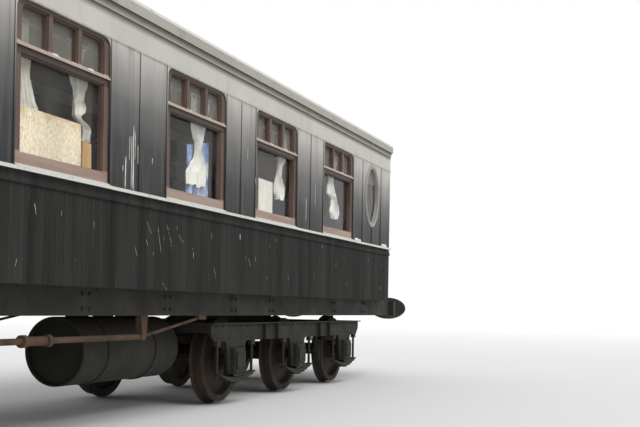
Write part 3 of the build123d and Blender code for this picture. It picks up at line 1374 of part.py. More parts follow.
with BuildPart() as tanks:
    with Locations((TANK_START, -TANK_Y, TANK_Z)):
        add(reservoir.part)
    for strap_x in (TANK_START + TANK_LENGTH / 4, TANK_START + TANK_LENGTH * 3 / 4):
        with BuildSketch(Plane.YZ.offset(strap_x - STRAP_WIDTH / 2)):
            with Locations((-TANK_Y, TANK_Z)):
                Circle(TANK_RADIUS + STRAP_THICK)
            with Locations((-CENTRE_BEAM_Y, TANK_Z)):
                Rectangle(
                    CENTRE_BEAM_WIDTH, CROSS_BOTTOM - TANK_Z, align=(Align.CENTER, Align.MIN)
                )
        extrude(amount=STRAP_WIDTH)
    add(tanks.part, rotation=(0, 0, 180))
keep(tanks, "tanks")

# Battery box: hung from two cross members on the left side, with two doors.
TRUSS_INNER_Y = SOLEBAR_Y - TRUSS_WIDTH / 2 - TURNBUCKLE_NUT_RADIUS
BATTERY_Y = TRUSS_INNER_Y - BATTERY_OFF_TRUSS - BATTERY_DEPTH / 2
with BuildPart() as battery_box:
    with BuildSketch(Plane.XY.offset(SOLEBAR_BOTTOM)):
        with Locations((BATTERY_X, BATTERY_Y)):
            Rectangle(BATTERY_LENGTH, BATTERY_DEPTH)
    extrude(amount=-BATTERY_HEIGHT)
    with BuildSketch(Plane.XY.offset(SOLEBAR_BOTTOM)):
        with Locations((-CROSS_XS[0], BATTERY_Y), (CROSS_XS[0], BATTERY_Y)):
            Rectangle(CROSS_WIDTH, BATTERY_DEPTH / 2)
    extrude(amount=CROSS_BOTTOM - SOLEBAR_BOTTOM)
    with BuildSketch(Plane.XZ.offset(-BATTERY_Y - BATTERY_DEPTH / 2)):
        door_x = BATTERY_LENGTH / 4
        door_z = SOLEBAR_BOTTOM - BATTERY_HEIGHT / 2
        with Locations((BATTERY_X - door_x, door_z), (BATTERY_X + door_x, door_z)):
            Rectangle(
                BATTERY_LENGTH / 2 - BATTERY_DOOR_MARGIN, BATTERY_HEIGHT - 2 * BATTERY_DOOR_MARGIN
            )
    extrude(amount=BATTERY_DOOR_RECESS, mode=Mode.SUBTRACT)
keep(battery_box, "battery_box")

# Buffers: a plate and a tapered housing with a collar, a ram, and an oval head whose
# face falls away round a flat middle.
with BuildPart() as buffer:
    with BuildSketch(Plane.YZ.offset(HEADSTOCK_FRONT)):
        Rectangle(BUFFER_PLATE_WIDTH, SOLEBAR_HEIGHT)
    extrude(amount=BUFFER_PLATE_THICK)
    with BuildSketch(Plane.XZ):
        with BuildLine():
            housing_end = HEADSTOCK_FRONT + BUFFER_HOUSING_LENGTH
            collar_start = housing_end - BUFFER_COLLAR_LENGTH
            head_back = BUFFER_FACE_X - BUFFER_HEAD_SECTIONS[0][2] - BUFFER_HEAD_EDGE
            Polyline(
                (HEADSTOCK_FRONT, 0),
                (HEADSTOCK_FRONT, BUFFER_HOUSING_RADIUS),
                (HEADSTOCK_FRONT + 2 * BUFFER_PLATE_THICK, BUFFER_HOUSING_RADIUS),
                (collar_start, BUFFER_MOUTH_RADIUS),
                (collar_start, BUFFER_COLLAR_RADIUS),
                (housing_end, BUFFER_COLLAR_RADIUS),
                (housing_end, BUFFER_RAM_RADIUS),
                (head_back, BUFFER_RAM_RADIUS),
                (head_back, 0),
                close=True,
            )
        make_face()
    revolve(axis=Axis.X)
    with BuildSketch(Plane.YZ.offset(head_back)):
        Ellipse(BUFFER_HEAD_WIDTH / 2, BUFFER_HEAD_HEIGHT / 2)
    extrude(amount=BUFFER_HEAD_EDGE)
    for wide_share, high_share, depth in BUFFER_HEAD_SECTIONS:
        with BuildSketch(Plane.YZ.offset(BUFFER_FACE_X - depth)):
            Ellipse(wide_share * BUFFER_HEAD_WIDTH / 2, high_share * BUFFER_HEAD_HEIGHT / 2)
    loft(ruled=True)
with BuildPart() as buffers:
    with Locations((0, -BUFFER_Y, BUFFER_Z), (0, BUFFER_Y, BUFFER_Z)):
        add(buffer.part)
    add(buffers.part, rotation=(0, 0, 180))
keep(buffers, "buffers")

# Draw gear: a hook through each headstock, and the screw coupling that hangs from it on
# two side links: a screw between two nuts, with a bow for the next hook.
COUPLING_X = HEADSTOCK_FRONT + COUPLING_FROM_HEADSTOCK
UPPER_NUT_Z = BUFFER_Z - STRAP_LINK_LENGTH
LOWER_NUT_Z = BUFFER_Z - LOWER_NUT_DROP
BOW_Z = LOWER_NUT_Z - BOW_DROP


def across(height, half_length, radius):
    """A round bar across the coach at the coupling."""
    return rod((COUPLING_X, -half_length, height), (COUPLING_X, half_length, height), radius)


with BuildPart() as draw_gear_a:
    with BuildSketch(Plane.XZ.offset(-HOOK_THICK / 2)):
        with BuildLine():
            mouth = HOOK_MOUTH / 2
            throat_x = HEADSTOCK_FRONT + HOOK_REACH - HOOK_BAR - mouth
            throat_z = BUFFER_Z + HOOK_NOSE - HOOK_SHANK / 2
            shank_foot = BUFFER_Z - HOOK_SHANK / 2
            nose_z = BUFFER_Z + HOOK_NOSE
            belly = EllipticalCenterArc(
                (throat_x, throat_z),
                HOOK_BAR + mouth,
                throat_z - shank_foot,
                start_angle=270,
                arc_size=90,
            )
            throat = ThreePointArc(
                (throat_x + mouth, throat_z),
                (throat_x, throat_z - mouth),
                (throat_x - mouth, throat_z),
            )
            Polyline(
                belly @ 1,
                (throat_x + mouth + HOOK_BAR, nose_z),
                (throat_x + mouth + HOOK_BAR / 4, nose_z),
                throat @ 0,
            )
            Polyline(
                throat @ 1,
                (throat_x - mouth - HOOK_BAR, throat_z),
                (COUPLING_X, BUFFER_Z + HOOK_SHANK / 2),
                (HEADSTOCK_FRONT, BUFFER_Z + HOOK_SHANK / 2),
                (HEADSTOCK_FRONT, shank_foot),
                belly @ 0,
            )
        make_face()
    extrude(amount=HOOK_THICK)
    add(across(BUFFER_Z, COUPLING_HALF_WIDTH + 1.5 * STRAP_LINK_THICK, COUPLING_PIN_RADIUS))
    for way in (-1, 1):
        link_y = way * COUPLING_HALF_WIDTH + STRAP_LINK_THICK / 2
        with BuildSketch(Plane.XZ.offset(-link_y)):
            with Locations((COUPLING_X, (BUFFER_Z + UPPER_NUT_Z) / 2)):
                SlotCenterToCenter(STRAP_LINK_LENGTH, STRAP_LINK_WIDTH, rotation=90)
        extrude(amount=STRAP_LINK_THICK)
    for nut_z in (UPPER_NUT_Z, LOWER_NUT_Z):
        add(across(nut_z, NUT_HALF_LENGTH, NUT_RADIUS))
        add(across(nut_z, COUPLING_HALF_WIDTH + STRAP_LINK_THICK, COUPLING_PIN_RADIUS))
    screw_top = UPPER_NUT_Z + SCREW_RADIUS
    add(
        rod(
            (COUPLING_X, 0, screw_top), (COUPLING_X, 0, screw_top - SCREW_LENGTH), SCREW_RADIUS
        )
    )
    with BuildLine() as bow_path:
        bow_start = (COUPLING_X, -COUPLING_HALF_WIDTH, LOWER_NUT_Z)
        fall = Line(bow_start, (COUPLING_X, -COUPLING_HALF_WIDTH, BOW_Z))
        turn = ThreePointArc(
            fall @ 1,
            (COUPLING_X, 0, BOW_Z - COUPLING_HALF_WIDTH),
            (COUPLING_X, COUPLING_HALF_WIDTH, BOW_Z),
        )
        Line(turn @ 1, (COUPLING_X, COUPLING_HALF_WIDTH, LOWER_NUT_Z))
    with BuildSketch(Plane(origin=bow_start, z_dir=(0, 0, -1))):
        Circle(BOW_RADIUS)
    sweep(path=bow_path.line)
with BuildPart() as draw_gear:
    add(draw_gear_a.part)
    add(draw_gear_a.part, rotation=(0, 0, 180))
keep(draw_gear, "draw_gear")

# Bogies, built about end a's pivot and turned half round for end b.
AXLE_XS = [PIVOT_X + x for x in AXLE_OFFSETS]
PLATE_Y = AXLEBOX_Y - FRAME_PLATE / 2
BOX_BOTTOM = AXLE_Z - AXLEBOX_HEIGHT / 2
BOX_TOP = AXLE_Z + AXLEBOX_HEIGHT / 2
HORN_BOTTOM = BOX_BOTTOM - HORN_BELOW_BOX
HORN_GAP = AXLEBOX_WIDTH + 2 * AXLEBOX_GAP + 2 * CHEEK_THICK


def side_plate():
    """A bogie's side plate about its middle axle, with horns astride three axleboxes."""
    with BuildSketch() as plate:
        with Locations((0, FRAME_WAIST)):
            Rectangle(
                2 * FRAME_HALF_LENGTH, FRAME_TOP - FRAME_WAIST, align=(Align.CENTER, Align.MIN)
            )
        chamfer(plate.vertices().group_by(Axis.Y)[0], FRAME_END_CUT)
        with Locations(*[(x, 0) for x in AXLE_OFFSETS]):
            Polygon(
                (-HORN_TOP_WIDTH / 2, FRAME_WAIST),
                (-HORN_FOOT_WIDTH / 2, HORN_BOTTOM),
                (HORN_FOOT_WIDTH / 2, HORN_BOTTOM),
                (HORN_TOP_WIDTH / 2, FRAME_WAIST),
                align=None,
            )
        inside = FRAME_HALF_LENGTH - FRAME_END_CUT - 1
        knees = plate.vertices().filter_by(
            lambda v: abs(v.Y - FRAME_WAIST) < 1 and abs(v.X) < inside
        )
        fillet(knees, FRAME_KNEE_RADIUS)
        with Locations(*[(x, HORN_BOTTOM) for x in AXLE_OFFSETS]):
            Rectangle(
                HORN_GAP,
                BOX_TOP + AXLEBOX_GAP - HORN_BOTTOM,
                align=(Align.CENTER, Align.MIN),
                mode=Mode.SUBTRACT,
            )
    return plate.sketch


# Bogie frame: flanged side plates with ribs, the guides and keeps of the axleboxes, two
# channel transoms and a plate across each end.
with BuildPart() as bogie_frame:
    with BuildSketch(Plane.XZ.offset(PLATE_Y)):
        with Locations((PIVOT_X, 0)):
            add(side_plate())
    extrude(amount=FRAME_PLATE)
    flange_y = AXLEBOX_Y + (FRAME_PLATE + FRAME_FLANGE) / 2
    with BuildSketch(Plane.XY.offset(FRAME_TOP)):
        with Locations((PIVOT_X, -flange_y)):
            Rectangle(2 * FRAME_HALF_LENGTH, FRAME_FLANGE)
    extrude(amount=-FRAME_FLANGE_THICK)
    rib_xs = [
        PIVOT_X + side * AXLE_SPACING / 2 + run
        for side in (-1, 1)
        for run in (-RIB_OFFSET, RIB_OFFSET)
    ]
    with BuildSketch(Plane.XY.offset(FRAME_WAIST)):
        with Locations(*[(x, -flange_y) for x in rib_xs]):
            Rectangle(RIB_THICK, FRAME_FLANGE)
    extrude(amount=FRAME_TOP - FRAME_WAIST)
    cheek_x = (HORN_GAP - CHEEK_THICK) / 2
    with BuildSketch(Plane.XY.offset(HORN_BOTTOM)):
        with Locations(*[(x + side * cheek_x, -AXLEBOX_Y) for x in AXLE_XS for side in (-1, 1)]):
            Rectangle(CHEEK_THICK, CHEEK_DEPTH)
    extrude(amount=BOX_TOP + AXLEBOX_GAP - HORN_BOTTOM)
    keep_y = (CHEEK_DEPTH - KEEP_WIDTH) / 2
    with BuildSketch(Plane.XY.offset(HORN_BOTTOM)):
        with Locations(*[(x, -AXLEBOX_Y + side * keep_y) for x in AXLE_XS for side in (-1, 1)]):
            Rectangle(HORN_GAP, KEEP_WIDTH)
    extrude(amount=-KEEP_THICK)
    mirror(about=Plane.XZ)
    for transom_x in (PIVOT_X - AXLE_SPACING / 2, PIVOT_X + AXLE_SPACING / 2):
        with BuildSketch(Plane.XZ.offset(-PLATE_Y)):
            with Locations((transom_x, FRAME_WAIST)):
                Rectangle(
                    TRANSOM_WIDTH, FRAME_TOP - FRAME_WAIST, align=(Align.CENTER, Align.MIN)
                )
                Rectangle(
                    TRANSOM_WIDTH - 2 * TRANSOM_PLATE,
                    FRAME_TOP - FRAME_WAIST - TRANSOM_PLATE,
                    align=(Align.CENTER, Align.MIN),
                    mode=Mode.SUBTRACT,
                )
        extrude(amount=2 * PLATE_Y)
    with BuildSketch(Plane.XY.offset(FRAME_WAIST + FRAME_END_CUT)):
        end_x = FRAME_HALF_LENGTH - FRAME_PLATE / 2
        with Locations((PIVOT_X - end_x, 0), (PIVOT_X + end_x, 0)):
            Rectangle(FRAME_PLATE, 2 * PLATE_Y)
    extrude(amount=FRAME_TOP - FRAME_WAIST - FRAME_END_CUT)

# Bogie bolster: a beam along the bogie and one across it, both tapered, with the centre
# plate where they meet and a side bearer on each arm.
PLATE_TOP = CENTRE_PLATE_Z - CENTRE_PLATE_GAP
with BuildPart() as bogie_bolster:
    beam_end = (AXLE_SPACING + TRANSOM_WIDTH) / 2
    with BuildSketch(Plane.XY.offset(FRAME_TOP)):
        with Locations((PIVOT_X, 0)):
            Polygon(
                (-beam_end, -BEAM_END_WIDTH / 2),
                (-BEAM_HALF_WIDTH, -BEAM_HALF_WIDTH),
                (-ARM_END_WIDTH / 2, -ARM_HALF_LENGTH),
                (ARM_END_WIDTH / 2, -ARM_HALF_LENGTH),
                (BEAM_HALF_WIDTH, -BEAM_HALF_WIDTH),
                (beam_end, -BEAM_END_WIDTH / 2),
                (beam_end, BEAM_END_WIDTH / 2),
                (BEAM_HALF_WIDTH, BEAM_HALF_WIDTH),
                (ARM_END_WIDTH / 2, ARM_HALF_LENGTH),
                (-ARM_END_WIDTH / 2, ARM_HALF_LENGTH),
                (-BEAM_HALF_WIDTH, BEAM_HALF_WIDTH),
                (-beam_end, BEAM_END_WIDTH / 2),
                align=None,
            )
    extrude(amount=BEAM_THICK)
    with BuildSketch(Plane.XY.offset(FRAME_TOP + BEAM_THICK)):
        with Locations((PIVOT_X, 0)):
            Circle(CENTRE_PLATE_RADIUS)
    extrude(amount=PLATE_TOP - FRAME_TOP - BEAM_THICK)
    with BuildSketch(Plane.XY.offset(FRAME_TOP + BEAM_THICK)):
        with Locations((PIVOT_X, -SIDE_BEARER_Y), (PIVOT_X, SIDE_BEARER_Y)):
            Circle(SIDE_BEARER_RADIUS)
    extrude(amount=SIDE_BEARER_HEIGHT)

# Axleboxes: bored for the journals and closed in front by a cover, each between its
# cheeks.
BOX_INNER_Y = AXLEBOX_Y - AXLEBOX_DEPTH / 2
JOURNAL_END_Y = AXLEBOX_Y + JOURNAL_PAST_MIDDLE
BORE_END_Y = JOURNAL_END_Y + JOURNAL_END_GAP
with BuildPart() as axleboxes:
    with BuildSketch(Plane.XZ.offset(BOX_INNER_Y)):
        with Locations(*[(x, AXLE_Z) for x in AXLE_XS]):
            RectangleRounded(AXLEBOX_WIDTH, AXLEBOX_HEIGHT, AXLEBOX_ROUND)
    extrude(amount=AXLEBOX_DEPTH)
    with BuildSketch(Plane.XZ.offset(BOX_INNER_Y + AXLEBOX_DEPTH)):
        with Locations(*[(x, AXLE_Z) for x in AXLE_XS]):
            RectangleRounded(
                AXLEBOX_WIDTH - AXLEBOX_COVER, AXLEBOX_HEIGHT - 2 * AXLEBOX_COVER, AXLEBOX_ROUND
            )
    extrude(amount=AXLEBOX_COVER_PROUD)
    with BuildSketch(Plane.XZ.offset(BOX_INNER_Y)):
        with Locations(*[(x, AXLE_Z) for x in AXLE_XS]):
            Circle(JOURNAL_RADIUS + JOURNAL_GAP)
    extrude(amount=BORE_END_Y - BOX_INNER_Y, mode=Mode.SUBTRACT)
    mirror(about=Plane.XZ)

# Springs: cambered leaves in a buckle under each box, and at both ends a hanger that
# goes up to a bracket under the frame.
SPRING_TOP = BOX_BOTTOM - SPRING_UNDER_BOX
CAMBER_RADIUS = (LEAF_HALF_LENGTHS[0] ** 2 + SPRING_CAMBER**2) / (2 * SPRING_CAMBER)


def leaf_height(run, radius):
    """The height on a leaf's arc, at a run from its middle."""
    return SPRING_TOP + CAMBER_RADIUS - sqrt(radius**2 - run**2)


def spring_leaf(half_length, place):
    """A leaf about its middle, bent to the spring's camber."""
    upper = CAMBER_RADIUS + place * LEAF_THICK
    lower = upper + LEAF_THICK
    with BuildSketch() as leaf:
        with BuildLine():
            top = ThreePointArc(
                (-half_length, leaf_height(half_length, upper)),
                (0, leaf_height(0, upper)),
                (half_length, leaf_height(half_length, upper)),
            )
            under = ThreePointArc(
                (half_length, leaf_height(half_length, lower)),
                (0, leaf_height(0, lower)),
                (-half_length, leaf_height(half_length, lower)),
            )
            Line(top @ 1, under @ 0)
            Line(under @ 1, top @ 0)
        make_face()
    return leaf.sketch


with BuildPart() as bogie_springs:
    with BuildSketch(Plane.XZ.offset(AXLEBOX_Y - LEAF_WIDTH / 2)):
        with Locations(*[(x, 0) for x in AXLE_XS]):
            for place, half_length in enumerate(LEAF_HALF_LENGTHS):
                add(spring_leaf(half_length, place))
        spring_foot = SPRING_TOP - (len(LEAF_HALF_LENGTHS) + 1) * LEAF_THICK
        with Locations(*[(x, BOX_BOTTOM) for x in AXLE_XS]):
            Rectangle(BUCKLE_DEPTH, BOX_BOTTOM - spring_foot, align=(Align.CENTER, Align.MAX))
    extrude(amount=LEAF_WIDTH)
    hanger_foot = leaf_height(SPRING_HANGER_X, CAMBER_RADIUS + LEAF_THICK) - HANGER_NUT_HEIGHT
    hangers = [
        (x + side * SPRING_HANGER_X, -AXLEBOX_Y) for x in AXLE_XS for side in (-1, 1)
    ]
    with BuildSketch(Plane.XY.offset(hanger_foot)):
        with Locations(*hangers):
            Circle(HANGER_RADIUS)
    extrude(amount=FRAME_WAIST - hanger_foot)
    with BuildSketch(Plane.XY.offset(hanger_foot)):
        with Locations(*hangers):
            Circle(HANGER_NUT_RADIUS)
    extrude(amount=HANGER_NUT_HEIGHT)
    with BuildSketch(Plane.XY.offset(FRAME_WAIST)):
        with Locations(*hangers):
            Rectangle(HANGER_BRACKET, HANGER_BRACKET / 2)
    extrude(amount=-HANGER_BRACKET_HEIGHT)
    mirror(about=Plane.XZ)

# Brakes: before each axle a cross shaft with two hangers, a shoe to each wheel, and a
# beam between the shoes.
TREAD_MIDDLE_Y = WHEEL_INNER_Y + FLANGE_WIDTH + (RIM_WIDTH - FLANGE_WIDTH) / 2
SHOE_INNER = TREAD_RADIUS + SHOE_GAP
BRAKE_SHAFT_Z = FRAME_WAIST + BRAKE_SHAFT_ABOVE_WAIST
SHOE_SIDES = ((AXLE_OFFSETS[0], 1), (AXLE_OFFSETS[1], 1), (AXLE_OFFSETS[2], -1))
with BuildPart() as brake_gear:
    for axle_offset, way in SHOE_SIDES:
        axle_x = PIVOT_X + axle_offset
        beam_run = SHOE_INNER + SHOE_THICK + BRAKE_SHAFT_RADIUS - BEAM_INTO_SHOE
        shaft_x = axle_x + way * beam_run
        with BuildSketch(Plane.XZ.offset(TREAD_MIDDLE_Y - SHOE_WIDTH / 2)):
            with Locations((axle_x, AXLE_Z)):
                Circle(SHOE_INNER + SHOE_THICK)
                Circle(SHOE_INNER, mode=Mode.SUBTRACT)
            with Locations((axle_x + way * SHOE_INNER, AXLE_Z)):
                Rectangle(4 * SHOE_THICK, 2 * SHOE_HALF_HEIGHT, mode=Mode.INTERSECT)
        extrude(amount=SHOE_WIDTH)
        with BuildSketch(Plane.XZ.offset(TREAD_MIDDLE_Y - SHOE_WIDTH / 4)):
            with Locations((shaft_x, (AXLE_Z + BRAKE_SHAFT_Z) / 2)):
                SlotCenterToCenter(
                    BRAKE_SHAFT_Z - AXLE_Z, 3 * BRAKE_SHAFT_RADIUS, rotation=90
                )
        extrude(amount=SHOE_WIDTH / 2)
        with BuildSketch(Plane.XZ):
            with Locations((shaft_x, BRAKE_SHAFT_Z)):
                Circle(BRAKE_SHAFT_RADIUS)
        extrude(amount=PLATE_Y)
        with BuildSketch(Plane.XZ):
            with Locations((shaft_x, AXLE_Z)):
                Circle(BRAKE_SHAFT_RADIUS)
        extrude(amount=TREAD_MIDDLE_Y)
    mirror(about=Plane.XZ)

for bogie_piece, name in (
    (bogie_frame, "bogie_{}_frame"),
    (bogie_bolster, "bogie_{}_bolster"),
    (axleboxes, "bogie_{}_axleboxes"),
    (bogie_springs, "bogie_{}_springs"),
    (brake_gear, "bogie_{}_brakes"),
):
    keep(bogie_piece, name.format("a"))
    keep(turned(bogie_piece), name.format("b"))

# Wheelsets: two wheels on their axle, turned as one piece, each with a dished web, a
# shouldered rim and a rounded flange, and a journal at each end.
with BuildPart() as wheelset:
    rim_outer_y = WHEEL_INNER_Y + RIM_WIDTH
    web_y = WHEEL_INNER_Y + RIM_WIDTH / 2
    web_inner_y = web_y - WEB_THICK / 2
    web_outer_y = web_y + WEB_THICK / 2
    with BuildSketch(Plane.YZ):
        with BuildLine():
            Polyline(
                (0, 0),
                (0, AXLE_RADIUS),
                (web_y - HUB_LENGTH / 2, AXLE_RADIUS),
                (web_y - HUB_LENGTH / 2, HUB_RADIUS),
                (web_inner_y + WEB_DISH, HUB_RADIUS + RIM_SHOULDER),
                (web_inner_y - WEB_DISH, RIM_INNER_RADIUS - RIM_SHOULDER),
                (WHEEL_INNER_Y, RIM_INNER_RADIUS),
                (WHEEL_INNER_Y, FLANGE_RADIUS - FLANGE_ROUND),
                (WHEEL_INNER_Y + FLANGE_ROUND, FLANGE_RADIUS),
                (WHEEL_INNER_Y + FLANGE_WIDTH - FLANGE_ROUND, FLANGE_RADIUS - FLANGE_ROUND),
                (WHEEL_INNER_Y + FLANGE_WIDTH, TREAD_RADIUS),
                (rim_outer_y, TREAD_RADIUS),
                (rim_outer_y, RIM_INNER_RADIUS),
                (web_outer_y - WEB_DISH, RIM_INNER_RADIUS - RIM_SHOULDER),
                (web_outer_y + WEB_DISH, HUB_RADIUS + RIM_SHOULDER),
                (web_y + HUB_LENGTH / 2, HUB_RADIUS),
                (web_y + HUB_LENGTH / 2, JOURNAL_RADIUS),
                (JOURNAL_END_Y, JOURNAL_RADIUS),
                (JOURNAL_END_Y, 0),
                close=True,
            )
        make_face()
    revolve(axis=Axis.Y)
    mirror(about=Plane.XZ)
for end, way in (("a", 1), ("b", -1)):
    for number, axle_x in enumerate(AXLE_XS, start=1):
        with BuildPart() as placed:
            with Locations((way * axle_x, 0, AXLE_Z)):
                add(wheelset.part)
        keep(placed, f"wheelset_{end}{number}")
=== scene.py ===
"""The looks of a wooden-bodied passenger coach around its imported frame: weathered paint, glass,
cloth and small fittings. Metres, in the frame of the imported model: X runs along the coach, Y
across it and Z up from the wheels' flange tips. The photographed side is the one at -Y."""
import math
import random

import bmesh
import bpy
from mathutils import Matrix, Vector, noise
from mathutils.bvhtree import BVHTree


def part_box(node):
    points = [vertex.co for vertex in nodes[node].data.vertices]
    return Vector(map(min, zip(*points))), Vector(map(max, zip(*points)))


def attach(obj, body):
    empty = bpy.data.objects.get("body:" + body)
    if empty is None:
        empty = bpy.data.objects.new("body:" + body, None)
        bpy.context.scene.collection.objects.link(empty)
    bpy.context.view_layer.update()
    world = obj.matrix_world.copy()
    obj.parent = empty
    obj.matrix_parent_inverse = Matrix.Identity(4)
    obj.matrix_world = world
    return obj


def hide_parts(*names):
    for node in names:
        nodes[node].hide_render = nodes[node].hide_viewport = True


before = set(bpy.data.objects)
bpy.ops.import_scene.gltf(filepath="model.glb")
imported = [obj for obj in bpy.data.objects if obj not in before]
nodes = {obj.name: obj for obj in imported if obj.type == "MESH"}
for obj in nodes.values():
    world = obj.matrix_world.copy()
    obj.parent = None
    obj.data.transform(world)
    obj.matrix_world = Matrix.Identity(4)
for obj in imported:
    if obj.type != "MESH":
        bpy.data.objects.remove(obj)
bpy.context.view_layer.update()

# Levels and lines of the body, from the frame
WAIST_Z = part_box("upper_side_right")[0].z
CANT_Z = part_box("upper_side_right")[1].z
FLOOR_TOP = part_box("floor")[1].z
TABLE_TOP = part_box("tables")[1].z
FRAME_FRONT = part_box("window_frames_right")[0].y
HEAD_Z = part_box("window_frames_right")[1].z

# Places that repeat those of the part's source
WINDOW_XS = (-5.948, -3.920, -2.051, 0.0, 2.051, 3.920, 5.948)
RAIL_TOP = WAIST_Z + 0.100
TRANSOM_Z = WAIST_Z + 0.774
LEDGE_FOOT = TRANSOM_Z + 0.058
LEDGE_TOP = TRANSOM_Z + 0.095
TOP_RAIL_Z = TRANSOM_Z + 0.348
PIVOT_X = 5.35
AXLE_OFFSETS = (-1.78, 0.0, 1.78)
AXLE_LEVEL = 0.487
CROSS_XS = (0.600, 1.900, 3.300, 4.300, 6.400, 7.700)
BUFFER_Y = 0.870
BUFFER_LEVEL = 1.095

# Camera: found from the photograph's converging lines
PHOTO_WIDTH = 640
FOCAL_PIXELS = 960.9
SHIFT_PIXELS = 94.9
SENSOR = 36
SEEN_FAR = 500
CAMERA_PLACE = Vector((-5.964, -5.634, 1.072))
CAMERA_YAW = math.radians(20.95)
CAMERA_ROLL = math.radians(-0.99)


def make_camera():
    """The camera at the photograph's viewing angle: level, and turned a little about its axis."""
    data = bpy.data.cameras.new("camera")
    data.sensor_width = SENSOR
    data.lens = SENSOR * FOCAL_PIXELS / PHOTO_WIDTH
    data.shift_y = SHIFT_PIXELS / PHOTO_WIDTH
    data.clip_end = SEEN_FAR
    camera = bpy.data.objects.new("camera", data)
    bpy.context.scene.collection.objects.link(camera)
    ahead = Matrix.Rotation(CAMERA_YAW - math.pi / 2, 4, "Z") @ Matrix.Rotation(math.pi / 2, 4, "X")
    rolled = ahead @ Matrix.Rotation(-CAMERA_ROLL, 4, "Z")
    camera.matrix_world = Matrix.Translation(CAMERA_PLACE) @ rolled
    bpy.context.scene.camera = camera


make_camera()


# Materials
def linear(level):
    """An sRGB level from 0 to 255 as a linear value."""
    share = level / 255
    return share / 12.92 if share <= 0.04045 else ((share + 0.055) / 1.055) ** 2.4


def rgb(red, green, blue):
    """A colour written in sRGB levels, as Blender's linear RGBA."""
    return (linear(red), linear(green), linear(blue), 1)


class Finish:
    """A procedural material: one Principled shader, with masks read in the row frame's metres."""

    def __init__(self, name, roughness, metallic=0.0, specular=0.5):
        self.material = bpy.data.materials.new(name)
        self.material.use_nodes = True
        self.tree = self.material.node_tree
        self.shader = self.tree.nodes["Principled BSDF"]
        self.shader.inputs["Roughness"].default_value = roughness
        self.shader.inputs["Metallic"].default_value = metallic
        self.shader.inputs["Specular IOR Level"].default_value = specular
        self.place = self.tree.nodes.new("ShaderNodeTexCoord").outputs["Object"]

    def feed(self, socket, value):
        """Sets a socket, or links it where the value is another node's output."""
        if isinstance(value, bpy.types.NodeSocket):
            self.tree.links.new(value, socket)
        else:
            socket.default_value = value

    def node(self, kind, **values):
        """A shader node of a kind, with its inputs set or linked by their names."""
        node = self.tree.nodes.new("ShaderNode" + kind)
        for name, value in values.items():
            self.feed(node.inputs[name.replace("_", " ")], value)
        return node

    def noise(self, scale, stretch=(1, 1, 1), detail=4, rough=0.55, shift=(0, 0, 0)):
        """Cloudy values from 0 to 1, stretched along the axes whose factor is small."""
        place = self.node("Mapping", Vector=self.place, Scale=stretch, Location=shift).outputs[0]
        texture = self.node("TexNoise", Vector=place, Scale=scale, Detail=detail, Roughness=rough)
        return texture.outputs["Fac"]

    def cells(self, scale, stretch=(1, 1, 1)):
        """Distances to scattered points, for specks and chips."""
        place = self.node("Mapping", Vector=self.place, Scale=stretch).outputs[0]
        return self.node("TexVoronoi", Vector=place, Scale=scale).outputs["Distance"]

    def part(self, vector, axis):
        """One coordinate of a vector."""
        return self.node("SeparateXYZ", Vector=vector).outputs[axis]

    def looks(self, axis):
        """How far a face looks along an axis, from -1 to 1."""
        return self.part(self.node("NewGeometry").outputs["Normal"], axis)

    def along(self, axis, low, high, start=0.0, end=1.0):
        """A value that goes from start to end between two places on an axis."""
        return self.span(self.part(self.place, axis), low, high, start, end)

    def above(self, level, soft=0.002):
        """0 below a level and 1 above it, with a soft step."""
        return self.along("Z", level - soft, level + soft)

    def span(self, value, low, high, start=0.0, end=1.0):
        """The value stretched from one range to another, and held at its ends."""
        node = self.node(
            "MapRange", Value=value, From_Min=low, From_Max=high, To_Min=start, To_Max=end
        )
        return node.outputs["Result"]

    def math(self, operation, first, second=0.0, clamp=True):
        """Two values put together."""
        node = self.node("Math")
        node.operation = operation
        node.use_clamp = clamp
        self.feed(node.inputs[0], first)
        self.feed(node.inputs[1], second)
        return node.outputs[0]

    def upward(self):
        """How far a face looks up, from 0 on a wall to 1 on a ledge."""
        return self.span(self.looks("Z"), 0.2, 0.9)

    def mix(self, share, first, second):
        """One colour over another."""
        node = self.node("Mix")
        node.data_type = "RGBA"
        self.feed(node.inputs["Factor"], share)
        self.feed(node.inputs["A"], first)
        self.feed(node.inputs["B"], second)
        return node.outputs["Result"]

    def layer(self, share, first, second):
        """One shader over another."""
        node = self.node("MixShader", Fac=share)
        self.feed(node.inputs[1], first)
        self.feed(node.inputs[2], second)
        return node.outputs[0]

    def ramp(self, value, *stops):
        """Colours along a value: (place, colour) pairs."""
        node = self.node("ValToRGB", Fac=value)
        elements = node.color_ramp.elements
        while len(elements) < len(stops):
            elements.new(1)
        for element, (place, colour) in zip(elements, stops):
            element.position = place
            element.color = colour
        return node.outputs["Color"]

    def colour(self, value):
        self.feed(self.shader.inputs["Base Color"], value)
        return self

    def roughness(self, value):
        self.feed(self.shader.inputs["Roughness"], value)
        return self

    def bump(self, height, depth, strength=0.5):
        """Relief of that depth in metres."""
        node = self.node("Bump", Strength=strength, Distance=depth, Height=height)
        self.feed(self.shader.inputs["Normal"], node.outputs["Normal"])
        return self

    def surface(self, value):
        """Puts another shader in the place of the Principled one."""
        self.feed(self.tree.nodes["Material Output"].inputs["Surface"], value)
        return self


def inside(finish):
    """1 on a side wall's inner face, which looks at the middle of the coach, and 0 outside."""
    across = finish.part(finish.place, "Y")
    outward = finish.math("MULTIPLY", finish.looks("Y"), across, clamp=False)
    return finish.span(outward, -0.5, -0.8)


def edges(finish):
    """1 on faces that look along the coach, such as the edges of battens, which take painted shade.
    """
    return finish.span(finish.math("ABSOLUTE", finish.looks("X")), 0.25, 0.6)


def varnish(finish):
    """Old varnished panelling, for the inner faces."""
    grain = finish.noise(9, (1, 1, 0.12), 6)
    return finish.ramp(grain, (0.3, rgb(58, 40, 28)), (0.7, rgb(88, 62, 44)))


